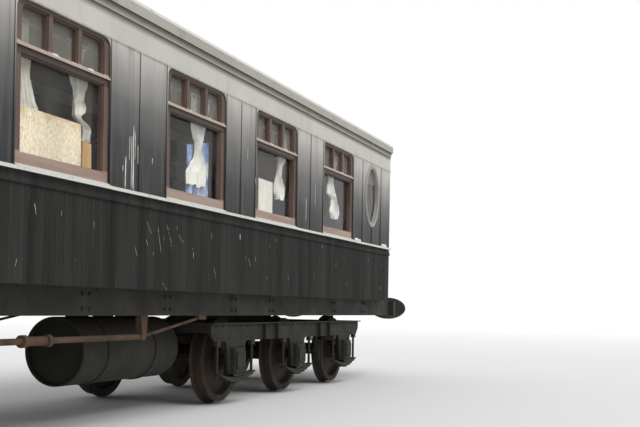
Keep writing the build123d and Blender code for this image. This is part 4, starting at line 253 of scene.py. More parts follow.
def black_paint():
    """Old gloss black of the lower sides: dull, streaked down, with small pale chips."""
    finish = Finish("body_lower", 0.75, specular=0.04)
    streaks = finish.noise(6, (1, 1, 0.06), 6)
    base = finish.ramp(
        streaks, (0.3, rgb(41, 41, 40)), (0.5, rgb(52, 52, 51)), (0.72, rgb(63, 63, 62))
    )
    runs = finish.span(finish.noise(34, (1, 1, 0.04), 3, shift=(5, 0, 2)), 0.66, 0.74, 0, 0.35)
    run_over = finish.mix(runs, base, rgb(96, 96, 93))
    chips = finish.span(finish.noise(30, (1, 1, 0.16), 3, shift=(3, 0, 1)), 0.75, 0.78, 0, 0.8)
    chipped = finish.mix(chips, run_over, rgb(158, 158, 154))
    finish.colour(finish.mix(inside(finish), chipped, varnish(finish)))
    return finish.bump(finish.noise(60, (1, 1, 0.1), 6), 0.001, 0.3)


# Between these Xs the upper panels grow paler with painted sky reflection
PALER_XS = (1.5, 4.5)
LETTERBOARD_Z = HEAD_Z + 0.014
GUTTER_SHADE = (CANT_Z - 0.062, CANT_Z - 0.015)


def panel_paint():
    """The same black on the upper panels, with painted sky reflection: paler towards the top and
    larger X.
    """
    finish = Finish("body_upper", 0.5, specular=0.1)
    height = finish.along("Z", WAIST_Z, HEAD_Z)
    clouds = finish.span(finish.noise(2.2, (1, 1, 0.35), 4), 0.3, 0.7, -0.06, 0.06)
    clouded = finish.math("ADD", height, clouds)
    # Painted sky reflection: the black goes paler with height and along PALER_XS
    sky_reflection_paled = finish.ramp(
        finish.math("ADD", clouded, finish.along("X", *PALER_XS, 0, 0.10)),
        (0.0, rgb(60, 60, 60)),
        (0.3, rgb(74, 74, 74)),
        (0.6, rgb(112, 112, 111)),
        (0.85, rgb(162, 160, 156)),
        (1.0, rgb(194, 191, 186)),
    )
    streaks = finish.noise(16, (1, 1, 0.05), 5)
    streaked = finish.mix(finish.span(streaks, 0.5, 0.75, 0, 0.3), sky_reflection_paled, rgb(140, 139, 135))
    dark_runs = finish.span(finish.noise(11, (1, 1, 0.05), 4, shift=(2, 4, 0)), 0.55, 0.75, 0, 0.35)
    stained = finish.mix(dark_runs, streaked, rgb(58, 58, 57))
    patches = finish.noise(2.5, (1, 1, 0.4))
    letterboard = finish.mix(patches, rgb(192, 190, 184), rgb(212, 209, 202))
    grime = finish.span(finish.noise(9, (1, 1, 0.2), 6, 0.7), 0.52, 0.75, 0, 0.3)
    aged = finish.mix(grime, letterboard, rgb(150, 144, 132))
    body = finish.mix(finish.above(LETTERBOARD_Z), stained, aged)
    under_gutter = finish.along("Z", *GUTTER_SHADE, 0, 0.85)
    shaded = finish.mix(under_gutter, body, rgb(92, 89, 82))
    # Painted shade on faces that look along the coach, such as the battens' edges
    batten_shaded = finish.mix(finish.math("MULTIPLY", edges(finish), 0.8), shaded, rgb(44, 43, 41))
    chips = finish.span(finish.noise(26, (1, 1, 0.2), 3, shift=(7, 2, 1)), 0.75, 0.78)
    chipped = finish.mix(chips, batten_shaded, rgb(196, 195, 190))
    finish.colour(finish.mix(inside(finish), chipped, varnish(finish)))
    finish.roughness(finish.span(finish.noise(3, (1, 1, 0.3)), 0.3, 0.7, 0.44, 0.62))
    return finish.bump(finish.noise(40, (1, 1, 0.1), 6), 0.001, 0.25)


def end_paint():
    """Black of the end walls and doors, a little sheltered."""
    finish = Finish("body_end", 0.42, specular=0.3)
    clouds = finish.noise(4, (1, 1, 0.25), 5)
    base = finish.ramp(clouds, (0.3, rgb(50, 51, 54)), (0.7, rgb(80, 81, 85)))
    runs = finish.span(finish.noise(22, (1, 1, 0.05), 4, shift=(1, 3, 0)), 0.6, 0.75, 0, 0.3)
    run_over = finish.mix(runs, base, rgb(112, 112, 110))
    chips = finish.span(finish.noise(30, (1, 1, 0.3), 3), 0.73, 0.76)
    finish.colour(finish.mix(chips, run_over, rgb(150, 149, 146)))
    return finish.bump(finish.noise(50, (1, 1, 0.15), 6), 0.001, 0.25)


def pale_paint(name, dark, light, grime, rough=0.6, scale=3, stretch=(1, 1, 1), painted_shade_below=None):
    """Pale paint with grime in its clouds, and painted shade where it looks down. The colours
    are sRGB levels."""
    finish = Finish(name, rough, specular=0.3)
    base = finish.mix(finish.noise(scale, stretch, 5), rgb(*dark), rgb(*light))
    dirt = finish.span(finish.noise(scale * 5, stretch, 6, 0.7), 0.55, 0.8, 0, 0.8)
    grimed_and_shaded = finish.mix(dirt, base, rgb(*grime))
    if painted_shade_below:
        # Painted shade on faces that look down: the cornice's soffit, the rail's underside, the
        # roof's eaves and ceiling
        downward = finish.span(finish.looks("Z"), -0.04, -0.35)
        grimed_and_shaded = finish.mix(downward, grimed_and_shaded, rgb(*painted_shade_below))
    finish.colour(grimed_and_shaded)
    return finish.bump(finish.noise(scale * 16, stretch, 5), 0.0006, 0.2)


def brown_frames():
    """Brown stain on the window frames, pale where it looks up, being dusty there and lit by
    painted sky light. The bottom rail is paler, the ledge of the transom has a painted highlight,
    and what lies below the ledge and along the head is shaded."""
    finish = Finish("frame_brown", 0.5, specular=0.3)
    grain = finish.noise(14, (1, 1, 0.12), 6)
    base = finish.ramp(grain, (0.3, rgb(84, 67, 60)), (0.7, rgb(114, 95, 86)))
    rail_clouds = finish.noise(10, (0.1, 1, 1), 5)
    rail = finish.ramp(rail_clouds, (0.3, rgb(146, 122, 110)), (0.7, rgb(178, 157, 144)))
    railed = finish.mix(finish.along("Z", RAIL_TOP + 0.012, RAIL_TOP - 0.006), base, rail)
    shade = rgb(62, 51, 46)
    # Painted highlight on the ledge of the transom; painted shade below it and along the head
    over_foot = finish.above(LEDGE_FOOT)
    ledge = finish.math("MULTIPLY", over_foot, finish.above(LEDGE_TOP, -0.002))
    under_ledge = finish.math("SUBTRACT", 1.0, over_foot)
    below = finish.math("MULTIPLY", finish.above(TRANSOM_Z - 0.001, 0.003), under_ledge)
    shaded = finish.mix(finish.math("MULTIPLY", below, 0.75), railed, shade)
    ledged = finish.mix(finish.math("MULTIPLY", ledge, 0.85), shaded, rgb(196, 178, 166))
    head = finish.math("MULTIPLY", finish.above(TOP_RAIL_Z, 0.004), 0.7)
    headed = finish.mix(head, ledged, shade)
    # Faces that look up go pale: dusty, and with painted sky light
    dust_and_sky_light = finish.math("MULTIPLY", finish.upward(), 0.8)
    finish.colour(finish.mix(dust_and_sky_light, headed, rgb(214, 200, 188)))
    return finish.bump(grain, 0.001, 0.3)


def wood(name, dark, light, rough, along=(0.1, 1, 1), gloss=0.5):
    """Grained wood."""
    finish = Finish(name, rough, specular=gloss)
    grain = finish.noise(12, along, 7, 0.65)
    finish.colour(finish.ramp(grain, (0.3, dark), (0.7, light)))
    return finish.bump(grain, 0.0008, 0.3)


def iron(name, base, rust, share, rough=0.65, metallic=0.0, dust_and_sky_light=0.2):
    """Greasy, dusty iron with rust where the share of it is larger."""
    finish = Finish(name, rough, metallic, specular=0.2)
    clouds = finish.noise(6, detail=6, rough=0.65)
    rusted = finish.span(clouds, 0.72 - share * 0.4, 0.84 - share * 0.3)
    specks = finish.noise(40, detail=5)
    rust_colour = finish.mix(specks, rust, tuple(x * 0.6 for x in rust[:3]) + (1,))
    stained = finish.mix(rusted, base, rust_colour)
    grease = finish.span(finish.noise(3, detail=4, shift=(4, 1, 2)), 0.45, 0.7, 0, 0.5)
    greasy = finish.mix(grease, stained, tuple(x * 0.5 for x in base[:3]) + (1,))
    dusted = finish.math("MULTIPLY", finish.upward(), dust_and_sky_light)
    finish.colour(finish.mix(dusted, greasy, rgb(96, 88, 76)))
    finish.roughness(finish.span(finish.noise(5, detail=4), 0.3, 0.7, rough - 0.12, rough + 0.12))
    return finish.bump(specks, 0.001, 0.4)


LEFT_GLASS_Y = (0.95, 1.2)


def glass(name):
    """Window glass that lets the light through to what is behind it. A thin film of dirt lies on
    it, a little thicker on the top lights; on the left side a thick dark film stands in as painted
    shade that darkens the view through the coach. Its index is low, so that the sky shows in it
    only faintly."""
    finish = Finish(name, 0.02)
    finish.colour((0.975, 0.98, 0.975, 1))
    finish.shader.inputs["Transmission Weight"].default_value = 1
    finish.shader.inputs["IOR"].default_value = 1.15
    clear = finish.node("BsdfTransparent", Color=(0.96, 0.97, 0.96, 1))
    # On the left side the thick dark film is painted shade, darkening the view through the coach
    left = finish.along("Y", *LEFT_GLASS_Y)
    dirt = finish.mix(left, rgb(150, 147, 140), rgb(78, 76, 72))
    film = finish.node("BsdfDiffuse", Color=dirt)
    clouds = finish.noise(5, (1, 1, 0.35), detail=6, rough=0.7)
    top_lights = finish.math("MULTIPLY", finish.above(LEDGE_TOP, 0.005), 0.34)
    thin = finish.math("ADD", finish.span(clouds, 0.38, 0.8, 0.0, 0.16), top_lights)
    thick = finish.span(clouds, 0.2, 0.8, 0.8, 0.97)
    share = finish.node("Mix", Factor=left, A=thin, B=thick).outputs["Result"]
    dirty = finish.layer(share, finish.shader.outputs[0], film.outputs[0])
    shadow_ray = finish.node("LightPath").outputs["Is Shadow Ray"]
    return finish.surface(finish.layer(shadow_ray, dirty, clear.outputs[0]))


BOARD_TOP = 2.458


def chip_board():
    """Raw chipboard: pale flakes among tan ones, stained by damp along its top."""
    finish = Finish("chipboard", 0.85, specular=0.1)
    flakes = finish.cells(110, (1, 1, 0.3))
    base = finish.ramp(
        flakes, (0.1, rgb(250, 244, 230)), (0.4, rgb(243, 233, 212)), (0.75, rgb(222, 200, 162))
    )
    streaks = finish.span(finish.noise(22, (1, 1, 0.15), 5, 0.7), 0.5, 0.75, 0, 0.35)
    streaked = finish.mix(streaks, base, rgb(222, 196, 150))
    top = finish.along("Z", BOARD_TOP - 0.10, BOARD_TOP)
    spread = finish.span(finish.noise(8, detail=6, rough=0.7), 0.35, 0.65, 0, 0.9)
    damp = finish.math("MULTIPLY", top, spread)
    finish.colour(finish.mix(damp, streaked, rgb(190, 148, 84)))
    return finish.bump(flakes, 0.001, 0.4)


def cloth(name, light, shade, scale, rough=0.9, sheen=0.2):
    """Woven cloth, with fine threads both ways and a little sheen."""
    finish = Finish(name, rough, specular=0.15)
    finish.shader.inputs["Sheen Weight"].default_value = sheen
    clouds = finish.span(finish.noise(7, detail=5), 0.3, 0.7)
    base = finish.mix(clouds, light, shade)
    stains = finish.span(finish.noise(4, (1, 1, 0.5), 6, 0.7, (3, 1, 6)), 0.58, 0.72, 0, 0.5)
    finish.colour(finish.mix(stains, base, tuple(x * 0.72 for x in shade[:3]) + (1,)))
    warp = finish.noise(scale, (1, 1, 0.05), 2)
    weft = finish.noise(scale, (0.05, 0.05, 1), 2)
    return finish.bump(finish.math("MULTIPLY", warp, weft), 0.0008, 0.4)


def cloudy_blue():
    """White cloth printed with broad blue clouds."""
    finish = Finish("blue_cloth", 0.85, specular=0.15)
    finish.shader.inputs["Sheen Weight"].default_value = 0.2
    clouds = finish.noise(7, (1, 1, 0.7), 3, 0.5, (1, 0, 4))
    blues = ((0.38, rgb(92, 122, 190)), (0.5, rgb(150, 176, 220)), (0.6, rgb(226, 232, 240)))
    finish.colour(finish.ramp(clouds, *blues))
    return finish.bump(finish.noise(600, detail=2), 0.0006, 0.4)


# The last colour given to the cornice, roof and rail is painted shade on their faces that look down
FINISHES = {
    "body_lower": black_paint(),
    "body_upper": panel_paint(),
    "body_end": end_paint(),
    "cornice": pale_paint(
        "cornice_grey", (154, 151, 143), (190, 186, 176), (118, 114, 96),
        stretch=(0.3, 1, 1), painted_shade_below=(84, 81, 74),
    ),
    "roof": pale_paint(
        "roof_cream", (214, 212, 205), (236, 234, 229), (168, 160, 144),
        rough=0.75, scale=1.5, painted_shade_below=(84, 73, 58),
    ),
    "board": pale_paint(
        "weathered_board", (214, 210, 197), (238, 235, 225), (146, 134, 114),
        rough=0.75, scale=4, stretch=(1, 0.2, 1),
    ),
    "rail": pale_paint(
        "rail_white", (208, 207, 201), (230, 229, 225), (156, 152, 142),
        rough=0.55, scale=5, stretch=(0.2, 1, 1), painted_shade_below=(84, 83, 80),
    ),
    "ring": pale_paint(
        "ring_grey", (150, 147, 141), (186, 183, 177), (90, 84, 76), rough=0.5, scale=9
    ),
    "frames": brown_frames(),
    "floor": wood("floor_wood", rgb(50, 42, 36), rgb(76, 64, 54), 0.75),
    "panelling": wood("panel_wood", rgb(64, 42, 28), rgb(104, 70, 46), 0.35, (1, 1, 0.1)),
    "table": wood("table_wood", rgb(80, 50, 32), rgb(128, 86, 56), 0.3),
    "chipboard": chip_board(),
    "cream": pale_paint("cream_board", (222, 218, 206), (240, 236, 226), (196, 186, 164), scale=5),
    "brass": iron("rod_brass", rgb(168, 140, 84), rgb(92, 76, 50), 0.5, 0.35, 0.8),
    "chassis": iron("chassis_black", rgb(50, 49, 44), rgb(84, 56, 42), 0.16, 0.7, dust_and_sky_light=0.4),
    "rusty": iron("rusty_iron", rgb(64, 53, 45), rgb(108, 84, 66), 0.95, 0.7, dust_and_sky_light=0.5),
    "buffer": iron("buffer_steel", rgb(84, 84, 84), rgb(78, 62, 52), 0.35, 0.5, 0.4),
    "wheel": iron("wheel_iron", rgb(50, 43, 37), rgb(76, 56, 44), 0.5, dust_and_sky_light=0.3),
    "bare": wood("bare_board", rgb(178, 136, 80), rgb(220, 184, 128), 0.8, (1, 1, 0.1), 0.1),
    "scratch": pale_paint(
        "scratch", (176, 176, 171), (206, 205, 200), (130, 129, 124), rough=0.8, scale=20
    ),
    "lime": pale_paint(
        "lime", (222, 220, 212), (242, 241, 236), (160, 152, 136), rough=0.85, scale=20
    ),
    "glass": glass("clear_glass"),
    "curtain": cloth("curtain_fabric", rgb(246, 245, 239), rgb(224, 221, 210), 700),
    "seat": cloth("seat_fabric", rgb(78, 97, 142), rgb(52, 68, 108), 500),
    "blue": cloudy_blue(),
}

# Which finish each node takes, by the start of its name
DRESS = (
    ("lower_side", "body_lower"),
    ("upper_side", "body_upper"),
    ("end_wall", "body_end"),
    ("waist_rails", "rail"),
    ("cornices", "cornice"),
    ("roof_end_boards", "board"),
    ("roof", "roof"),
    ("window_frames", "frames"),
    ("side_glass", "glass"),
    ("oval_rings", "ring"),
    ("floor", "floor"),
    ("partitions", "panelling"),
    ("tables", "table"),
    ("armchairs", "seat"),
    ("curtains", "curtain"),
    ("curtain_rods", "brass"),
    ("storm_board", "chipboard"),
    ("trusses", "rusty"),
    ("buffers", "buffer"),
    ("wheelset", "wheel"),
)


def dress(name):
    """The finish of a CAD node."""
    if name.endswith("_glass"):
        return FINISHES["glass"]
    if name.endswith("_door"):
        return FINISHES["body_end"]
    for start, finish in DRESS:
        if name.startswith(start):
            return FINISHES[finish]
    return FINISHES["chassis"]


for name, node in nodes.items():
    for index in range(max(1, len(node.data.materials))):
        if node.data.materials:
            node.data.materials[index] = dress(name).material
        else:
            node.data.materials.append(dress(name).material)


# Pieces
TREES = {}


def seat_on(node, start, direction):
    """Where a line from outside first meets a CAD node, or None."""
    if node not in TREES:
        mesh = nodes[node].data
        corners = [vertex.co for vertex in mesh.vertices]
        faces = [tuple(face.vertices) for face in mesh.polygons]
        TREES[node] = BVHTree.FromPolygons(corners, faces)
    return TREES[node].ray_cast(Vector(start), Vector(direction))[0]


def make_piece(name, points, faces, finish, body="root", smooth=False):
    """A mesh piece in the row frame, dressed, and riding on a body."""
    mesh = bpy.data.meshes.new(name)
    mesh.from_pydata([tuple(point) for point in points], [], faces)
    mesh.validate()
    mesh.materials.append(FINISHES[finish].material)
    for face in mesh.polygons:
        face.use_smooth = smooth
    piece = bpy.data.objects.new(name, mesh)
    bpy.context.scene.collection.objects.link(piece)
    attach(piece, body)
    return piece


def grid_faces(across, down):
    """Quads between rows of points, with one point more than there are quads each way."""
    faces = []
    for row in range(down):
        for column in range(across):
            first = row * (across + 1) + column
            faces.append((first, first + 1, first + across + 2, first + across + 1))
    return faces


class Mould:
    """Gathers the points and faces of one piece that is made of many small forms."""

    def __init__(self):
        self.points = []
        self.faces = []

    def lathe(self, place, axis, outline, sides, turn=0.0):
        """A turned form: (height, radius) pairs along an axis, closed at both ends."""
        forward = Vector(axis).normalized()
        across = forward.orthogonal().normalized()
        upward = forward.cross(across)
        first = len(self.points)
        for height, radius in outline:
            for side in range(sides):
                angle = turn + 2 * math.pi * side / sides
                spoke = across * math.cos(angle) + upward * math.sin(angle)
                self.points.append(Vector(place) + forward * height + spoke * radius)
        for ring in range(len(outline) - 1):
            for side in range(sides):
                a = first + ring * sides + side
                b = first + ring * sides + (side + 1) % sides
                self.faces.append((a, b, b + sides, a + sides))
        self.faces.append(tuple(first + side for side in reversed(range(sides))))
        last = first + (len(outline) - 1) * sides
        self.faces.append(tuple(last + side for side in range(sides)))

    def prism(self, outline, shift):
        """A flat outline of points, thickened by a shift."""
        first = len(self.points)
        count = len(outline)
        self.points += [Vector(point) for point in outline]
        self.points += [Vector(point) + Vector(shift) for point in outline]
        self.faces.append(tuple(first + corner for corner in reversed(range(count))))
        self.faces.append(tuple(first + count + corner for corner in range(count)))
        for corner in range(count):
            a = first + corner
            b = first + (corner + 1) % count
            self.faces.append((a, b, b + count, a + count))

    def bolt(self, place, axis, size):
        """A washer with a chamfered hexagonal head on it, sunk 1 mm."""
        washer = ((-0.001, size * 1.35), (0.003, size * 1.35), (0.004, size * 1.2))
        self.lathe(place, axis, washer, 12)
        head = ((0.003, size), (size * 0.75, size), (size * 0.92, size * 0.8))
        self.lathe(place, axis, head, 6, turn=(place[0] * 7.3 + place[2] * 3.1) % 1)

    def rivet(self, place, axis, size):
        """A round rivet head, sunk 1 mm."""
        dome = ((0.3, 0.92), (0.6, 0.64), (0.75, 0.25))
        outline = [(-0.001, size)] + [(size * height, size * radius) for height, radius in dome]
        self.lathe(place, axis, outline, 8)

    def made(self, name, finish, body="root", smooth=False):
        return make_piece(name, self.points, self.faces, finish, body, smooth)


# Curtains: a gathered sheet each, on the rods. A row of a profile is a level and the left and right
# edges there, from the window's middle; the photographed ones are read from the photograph.
CURTAIN_Y = 1.200
CURTAIN_WIDTH = 0.50
PLEATS = 5
PLEAT_MOST = 0.0205
ACROSS = 60
DOWN = 44
SWAY = 0.004
HEM_WAVE = 0.012
FRILL = 0.005
HEAD_LEVEL = 3.098
RIGHT_ONES = {
    0.0: (
        (3.098, 0.150, 0.440), (3.02, 0.160, 0.360), (2.90, 0.167, 0.330), (2.845, 0.175, 0.428),
        (2.79, 0.202, 0.416), (2.71, 0.242, 0.379), (2.655, 0.250, 0.367), (2.62, 0.240, 0.401),
        (2.58, 0.242, 0.396), (2.525, 0.241, 0.338), (2.50, 0.270, 0.359), (2.475, 0.320, 0.453),
        (2.44, 0.338, 0.474), (2.39, 0.346, 0.455), (2.352, 0.340, 0.456),
    ),
    2.051: (
        (3.098, 0.030, 0.420), (2.86, 0.036, 0.378), (2.77, 0.059, 0.340), (2.69, 0.101, 0.302),
        (2.635, 0.142, 0.263), (2.577, 0.144, 0.245), (2.50, 0.127, 0.309),
        (2.425, 0.051, 0.374), (2.345, -0.024, 0.397), (2.23, -0.020, 0.381),
    ),
    3.920: (
        (3.098, 0.240, 0.480), (2.91, 0.248, 0.480), (2.785, 0.248, 0.447),
        (2.685, 0.238, 0.353), (2.59, 0.213, 0.328), (2.545, 0.187, 0.389), (2.46, 0.163, 0.475),
        (2.39, 0.165, 0.470), (2.33, 0.196, 0.437),
    ),
    5.948: (
        (3.098, -0.060, 0.240), (2.90, -0.080, 0.130), (2.77, -0.092, 0.070),
        (2.635, -0.170, 0.105), (2.585, -0.200, 0.146), (2.52, -0.041, 0.189),
        (2.44, -0.065, 0.272), (2.36, -0.098, 0.316), (2.28, -0.020, 0.279),
    ),
}
LEFT_AT_MIDDLE = (
    (3.098, -0.480, -0.300), (3.03, -0.480, -0.295), (2.985, -0.480, -0.300),
    (2.847, -0.480, -0.279), (2.70, -0.480, -0.308), (2.64, -0.480, -0.290),
    (2.59, -0.480, -0.266), (2.54, -0.480, -0.242), (2.476, -0.480, -0.195),
    (2.438, -0.480, -0.206), (2.39, -0.470, -0.272), (2.34, -0.460, -0.330),
)
LEFT_DRAWN = (
    (3.098, -0.485, -0.330), (2.95, -0.485, -0.355), (2.70, -0.485, -0.400),
    (2.56, -0.480, -0.405), (2.50, -0.484, -0.400), (2.40, -0.486, -0.370),
    (2.25, -0.486, -0.360),
)
TIED = (
    (3.098, 0.150, 0.470), (2.95, 0.165, 0.480), (2.80, 0.200, 0.476), (2.68, 0.270, 0.462),
    (2.60, 0.310, 0.452), (2.55, 0.290, 0.455), (2.45, 0.235, 0.470), (2.34, 0.205, 0.478),
    (2.22, 0.190, 0.480),
)


def read_profile(profile, level):
    """The left and right edges at a level, on a smooth line between the rows."""
    for upper, lower in zip(profile, profile[1:]):
        if level >= lower[0]:
            share = (upper[0] - level) / (upper[0] - lower[0])
            share = min(max(share, 0), 1)
            share = share * share * (3 - 2 * share)
            return [upper[side] + (lower[side] - upper[side]) * share for side in (1, 2)]
    return list(profile[-1][1:])


def mirrored(profile):
    """The same profile seen the other way round."""
    return tuple((level, -right, -left) for level, left, right in profile)


def make_curtain(name, middle, side, profile, seed):
    """A pleated single sheet whose folds deepen where it is drawn in, so that its width stays."""
    draws = random.Random(seed)
    phases = [draws.uniform(0, 6.28) for _ in range(4)]
    leans = [draws.uniform(-0.35, 0.35) for _ in range(PLEATS + 1)]
    foot = profile[-1][0] + draws.uniform(-0.01, 0.01)
    points = []
    for row in range(DOWN + 1):
        fall = row / DOWN
        level = HEAD_LEVEL + (foot - HEAD_LEVEL) * fall
        left, right = read_profile(profile, level)
        width = right - left
        pleat = width / PLEATS
        full = CURTAIN_WIDTH / PLEATS
        depth = min(math.sqrt(max(full * full - pleat * pleat, 0)) / 4, PLEAT_MOST)
        sway = SWAY * math.sin(phases[0] + fall * 7)
        for column in range(ACROSS + 1):
            share = column / ACROSS
            lean = leans[int(share * PLEATS)] * math.sin(fall * 9 + phases[2])
            wander = 0.5 * math.sin(phases[1] + fall * 5) + lean
            angle = share * PLEATS * 2 * math.pi + wander
            along = left + width * share + 0.12 * pleat * math.sin(angle * 2 + phases[3])
            hem = HEM_WAVE * math.sin(share * 19 + phases[3]) * fall**8
            frill = FRILL * math.sin(share * 41 + phases[2]) * (1 - fall) ** 20
            x = middle + along
            y = side * (CURTAIN_Y + depth * math.sin(angle) + sway)
            points.append((x, y, level + hem + frill))
    curtain = make_piece(name, points, grid_faces(ACROSS, DOWN), "curtain", smooth=True)
    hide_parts("curtains")


def make_curtains():
    """Two curtains at each window: the one at the smaller X, "low", and the one at the larger."""
    for side, side_name in ((-1, "right"), (1, "left")):
        for number, middle in enumerate(WINDOW_XS, 1):
            high = RIGHT_ONES.get(middle, TIED) if side < 0 else TIED
            low = mirrored(TIED)
            if side < 0 and middle == 0:
                low = LEFT_AT_MIDDLE
            elif side < 0 and middle > 0:
                low = LEFT_DRAWN
            name = f"curtain_{side_name}_{number}"
            seed = number * 7 + side
            make_curtain(name + "_low", middle, side, low, seed)
            make_curtain(name + "_high", middle, side, high, seed + 100)


make_curtains()


# The blue-and-white cloth that hangs behind the curtain of the window after the middle one
BLUE_X = (2.105, 2.551)
BLUE_TOP = (2.612, 2.700)
BLUE_FOOT = 2.110
BLUE_Y = -1.160


def make_blue_cloth():
    """A single sheet, slanting at its top and rippling more towards its foot."""
    across, down = 30, 36
    points = []
    for row in range(down + 1):
        fall = row / down
        for column in range(across + 1):
            share = column / across
            top = BLUE_TOP[0] + (BLUE_TOP[1] - BLUE_TOP[0]) * share
            x = BLUE_X[0] + (BLUE_X[1] - BLUE_X[0]) * share
            x += 0.006 * math.sin(fall * 5 + share * 2)
            ripple = 0.009 * math.sin(share * 21 + 0.8 * math.sin(fall * 3)) * (0.4 + 0.6 * fall)
            points.append((x, BLUE_Y + ripple, top + (BLUE_FOOT - top) * fall))
    hung = make_piece("blue_cloth", points, grid_faces(across, down), "blue", smooth=True)


make_blue_cloth()


# Boards in two of the windows: low and high (X, level) corners, and the Ys of the two faces
STORM_END = 0.292
CREAM_BOARD = ((3.650, TABLE_TOP), (4.030, 2.490), (-1.206, -1.194))
WINDOW_STRIP = ((0.310, 2.060), (0.435, 2.330), (-1.240, -1.222))
EASED = 0.002
OUT_OF_SQUARE = 0.006


def make_board(name, low, high, y_range, finish):
    """A sawn board with eased edges, cut a little out of square."""
    lean = OUT_OF_SQUARE
    front, back = y_range
    outline = [
        (low[0], front, low[1]), (high[0], front, low[1]),
        (high[0] - lean, front, high[1]), (low[0] + lean, front, high[1] + lean),
    ]
    mould = Mould()
    mould.prism(outline, (0, back - front, 0))
    board = mould.made(name, finish)
    bevel = board.modifiers.new("edges", "BEVEL")
    bevel.width = EASED
    bevel.segments = 2
    return board


def make_boards():
    low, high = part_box("storm_board")
    faces = (low.y, high.y)
    storm = make_board(
        "storm_chipboard", (low.x, low.z), (STORM_END, BOARD_TOP), faces, "chipboard"
    )
    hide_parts("storm_board")
    make_board("cream_board", *CREAM_BOARD, "cream")
    make_board("window_strip", *WINDOW_STRIP, "bare")


make_boards()

# Armchairs: cushions blown up by simulation once, then set down at every place. The measures follow
# those of the part's source. A place is X from the window's middle, Y and the way the chair faces.
CHAIR_PLACES = [(way * 0.620, side * 0.870, way) for way in (-1, 1) for side in (-1, 1)]
CHAIR_HALF_DEPTH = 0.280
CHAIR_HALF_WIDTH = 0.310
CHAIR_HEIGHT = 1.120
ARM_HEIGHT = 0.640
SEAT_HEIGHT = 0.438
BACK_THICK = 0.170
LEG_HEIGHT = 0.120
LEG_OUTLINE = ((0, 0.015), (0.012, 0.02), (0.05, 0.024), (0.085, 0.03), (0.13, 0.03))
LEG_PLACES = ((-0.235, -0.26), (-0.235, 0.26), (0.235, -0.26), (0.235, 0.26))
VOXEL = 0.021
PUFF_CAP = 0.013


def rounded_block(low, high, ease, taper=0.0):
    """A block whose edges are cut back and whose top is narrower by the taper."""
    middle = (Vector(low) + Vector(high)) / 2
    half = (Vector(high) - Vector(low)) / 2
    mesh = bmesh.new()
    bmesh.ops.create_cube(mesh, size=2)
    for vertex in mesh.verts:
        x, y, z = vertex.co
        narrow = 1 - taper * (z + 1) / 2
        vertex.co = Vector((x * half.x * narrow, y * half.y, z * half.z)) + middle
    bmesh.ops.bevel(mesh, geom=mesh.edges[:], offset=ease, segments=3, profile=0.6, affect="EDGES")
    return mesh


def chair_forms():
    """The upholstered forms of a chair that faces -X: (low corner, high corner, edge, taper)."""
    inset = PUFF_CAP * 0.75
    rest = CHAIR_HALF_DEPTH - BACK_THICK + inset
    rear = CHAIR_HALF_DEPTH - inset
    front = -CHAIR_HALF_DEPTH + inset
    side = CHAIR_HALF_WIDTH - inset
    arm_top = ARM_HEIGHT - inset
    foot = LEG_HEIGHT
    return (
        ((front + 0.004, -0.205, 0.300), (rest - 0.014, 0.205, SEAT_HEIGHT - inset), 0.035, 0.0),
        ((rest + 0.006, -side, foot), (rear, side, CHAIR_HEIGHT - inset), 0.045, 0.12),
        ((front + 0.012, -side, foot), (rest, -0.222, arm_top), 0.035, 0.0),
        ((front + 0.012, 0.222, foot), (rest, side, arm_top), 0.035, 0.0),
        ((front + 0.010, -0.215, 0.115), (rest, 0.215, 0.285), 0.025, 0.0),
    )


def blow_up(piece, pressure=4.0, frames=20):
    """Swells closed cushions under pressure, no point by more than the cap."""
    rest = [vertex.co.copy() for vertex in piece.data.vertices]
    modifier = piece.modifiers.new("swell", "CLOTH")
    modifier.settings.use_pressure = True
    modifier.settings.uniform_pressure_force = pressure
    modifier.settings.effector_weights.gravity = 0
    modifier.point_cache.frame_end = frames
    for number in range(1, frames + 1):
        bpy.context.scene.frame_set(number)
    seen = piece.evaluated_get(bpy.context.evaluated_depsgraph_get()).to_mesh()
    ends = [vertex.co.copy() for vertex in seen.vertices]
    piece.modifiers.remove(modifier)
    bpy.context.scene.frame_set(1)
    for vertex, start, end in zip(piece.data.vertices, rest, ends):
        shift = end - start
        if shift.length > PUFF_CAP:
            shift *= PUFF_CAP / shift.length
        vertex.co = start + shift
    piece.data.update()


def make_chair_mesh():
    """One chair's upholstery: each form remeshed, then all of them swollen together."""
    whole = bmesh.new()
    for low, high, ease, taper in chair_forms():
        form = rounded_block(low, high, ease, taper)
        mesh = bpy.data.meshes.new("form")
        form.to_mesh(mesh)
        form.free()
        holder = bpy.data.objects.new("form", mesh)
        bpy.context.scene.collection.objects.link(holder)
        remesh = holder.modifiers.new("even", "REMESH")
        remesh.mode = "VOXEL"
        remesh.voxel_size = VOXEL
        seen = holder.evaluated_get(bpy.context.evaluated_depsgraph_get())
        whole.from_mesh(bpy.data.meshes.new_from_object(seen))
        bpy.data.objects.remove(holder)
    chair = bpy.data.meshes.new("chair")
    whole.to_mesh(chair)
    whole.free()
    holder = bpy.data.objects.new("chair", chair)
    bpy.context.scene.collection.objects.link(holder)
    blow_up(holder)
    points = [vertex.co.copy() for vertex in chair.vertices]
    faces = [tuple(face.vertices) for face in chair.polygons]
    bpy.data.objects.remove(holder)
    return points, faces


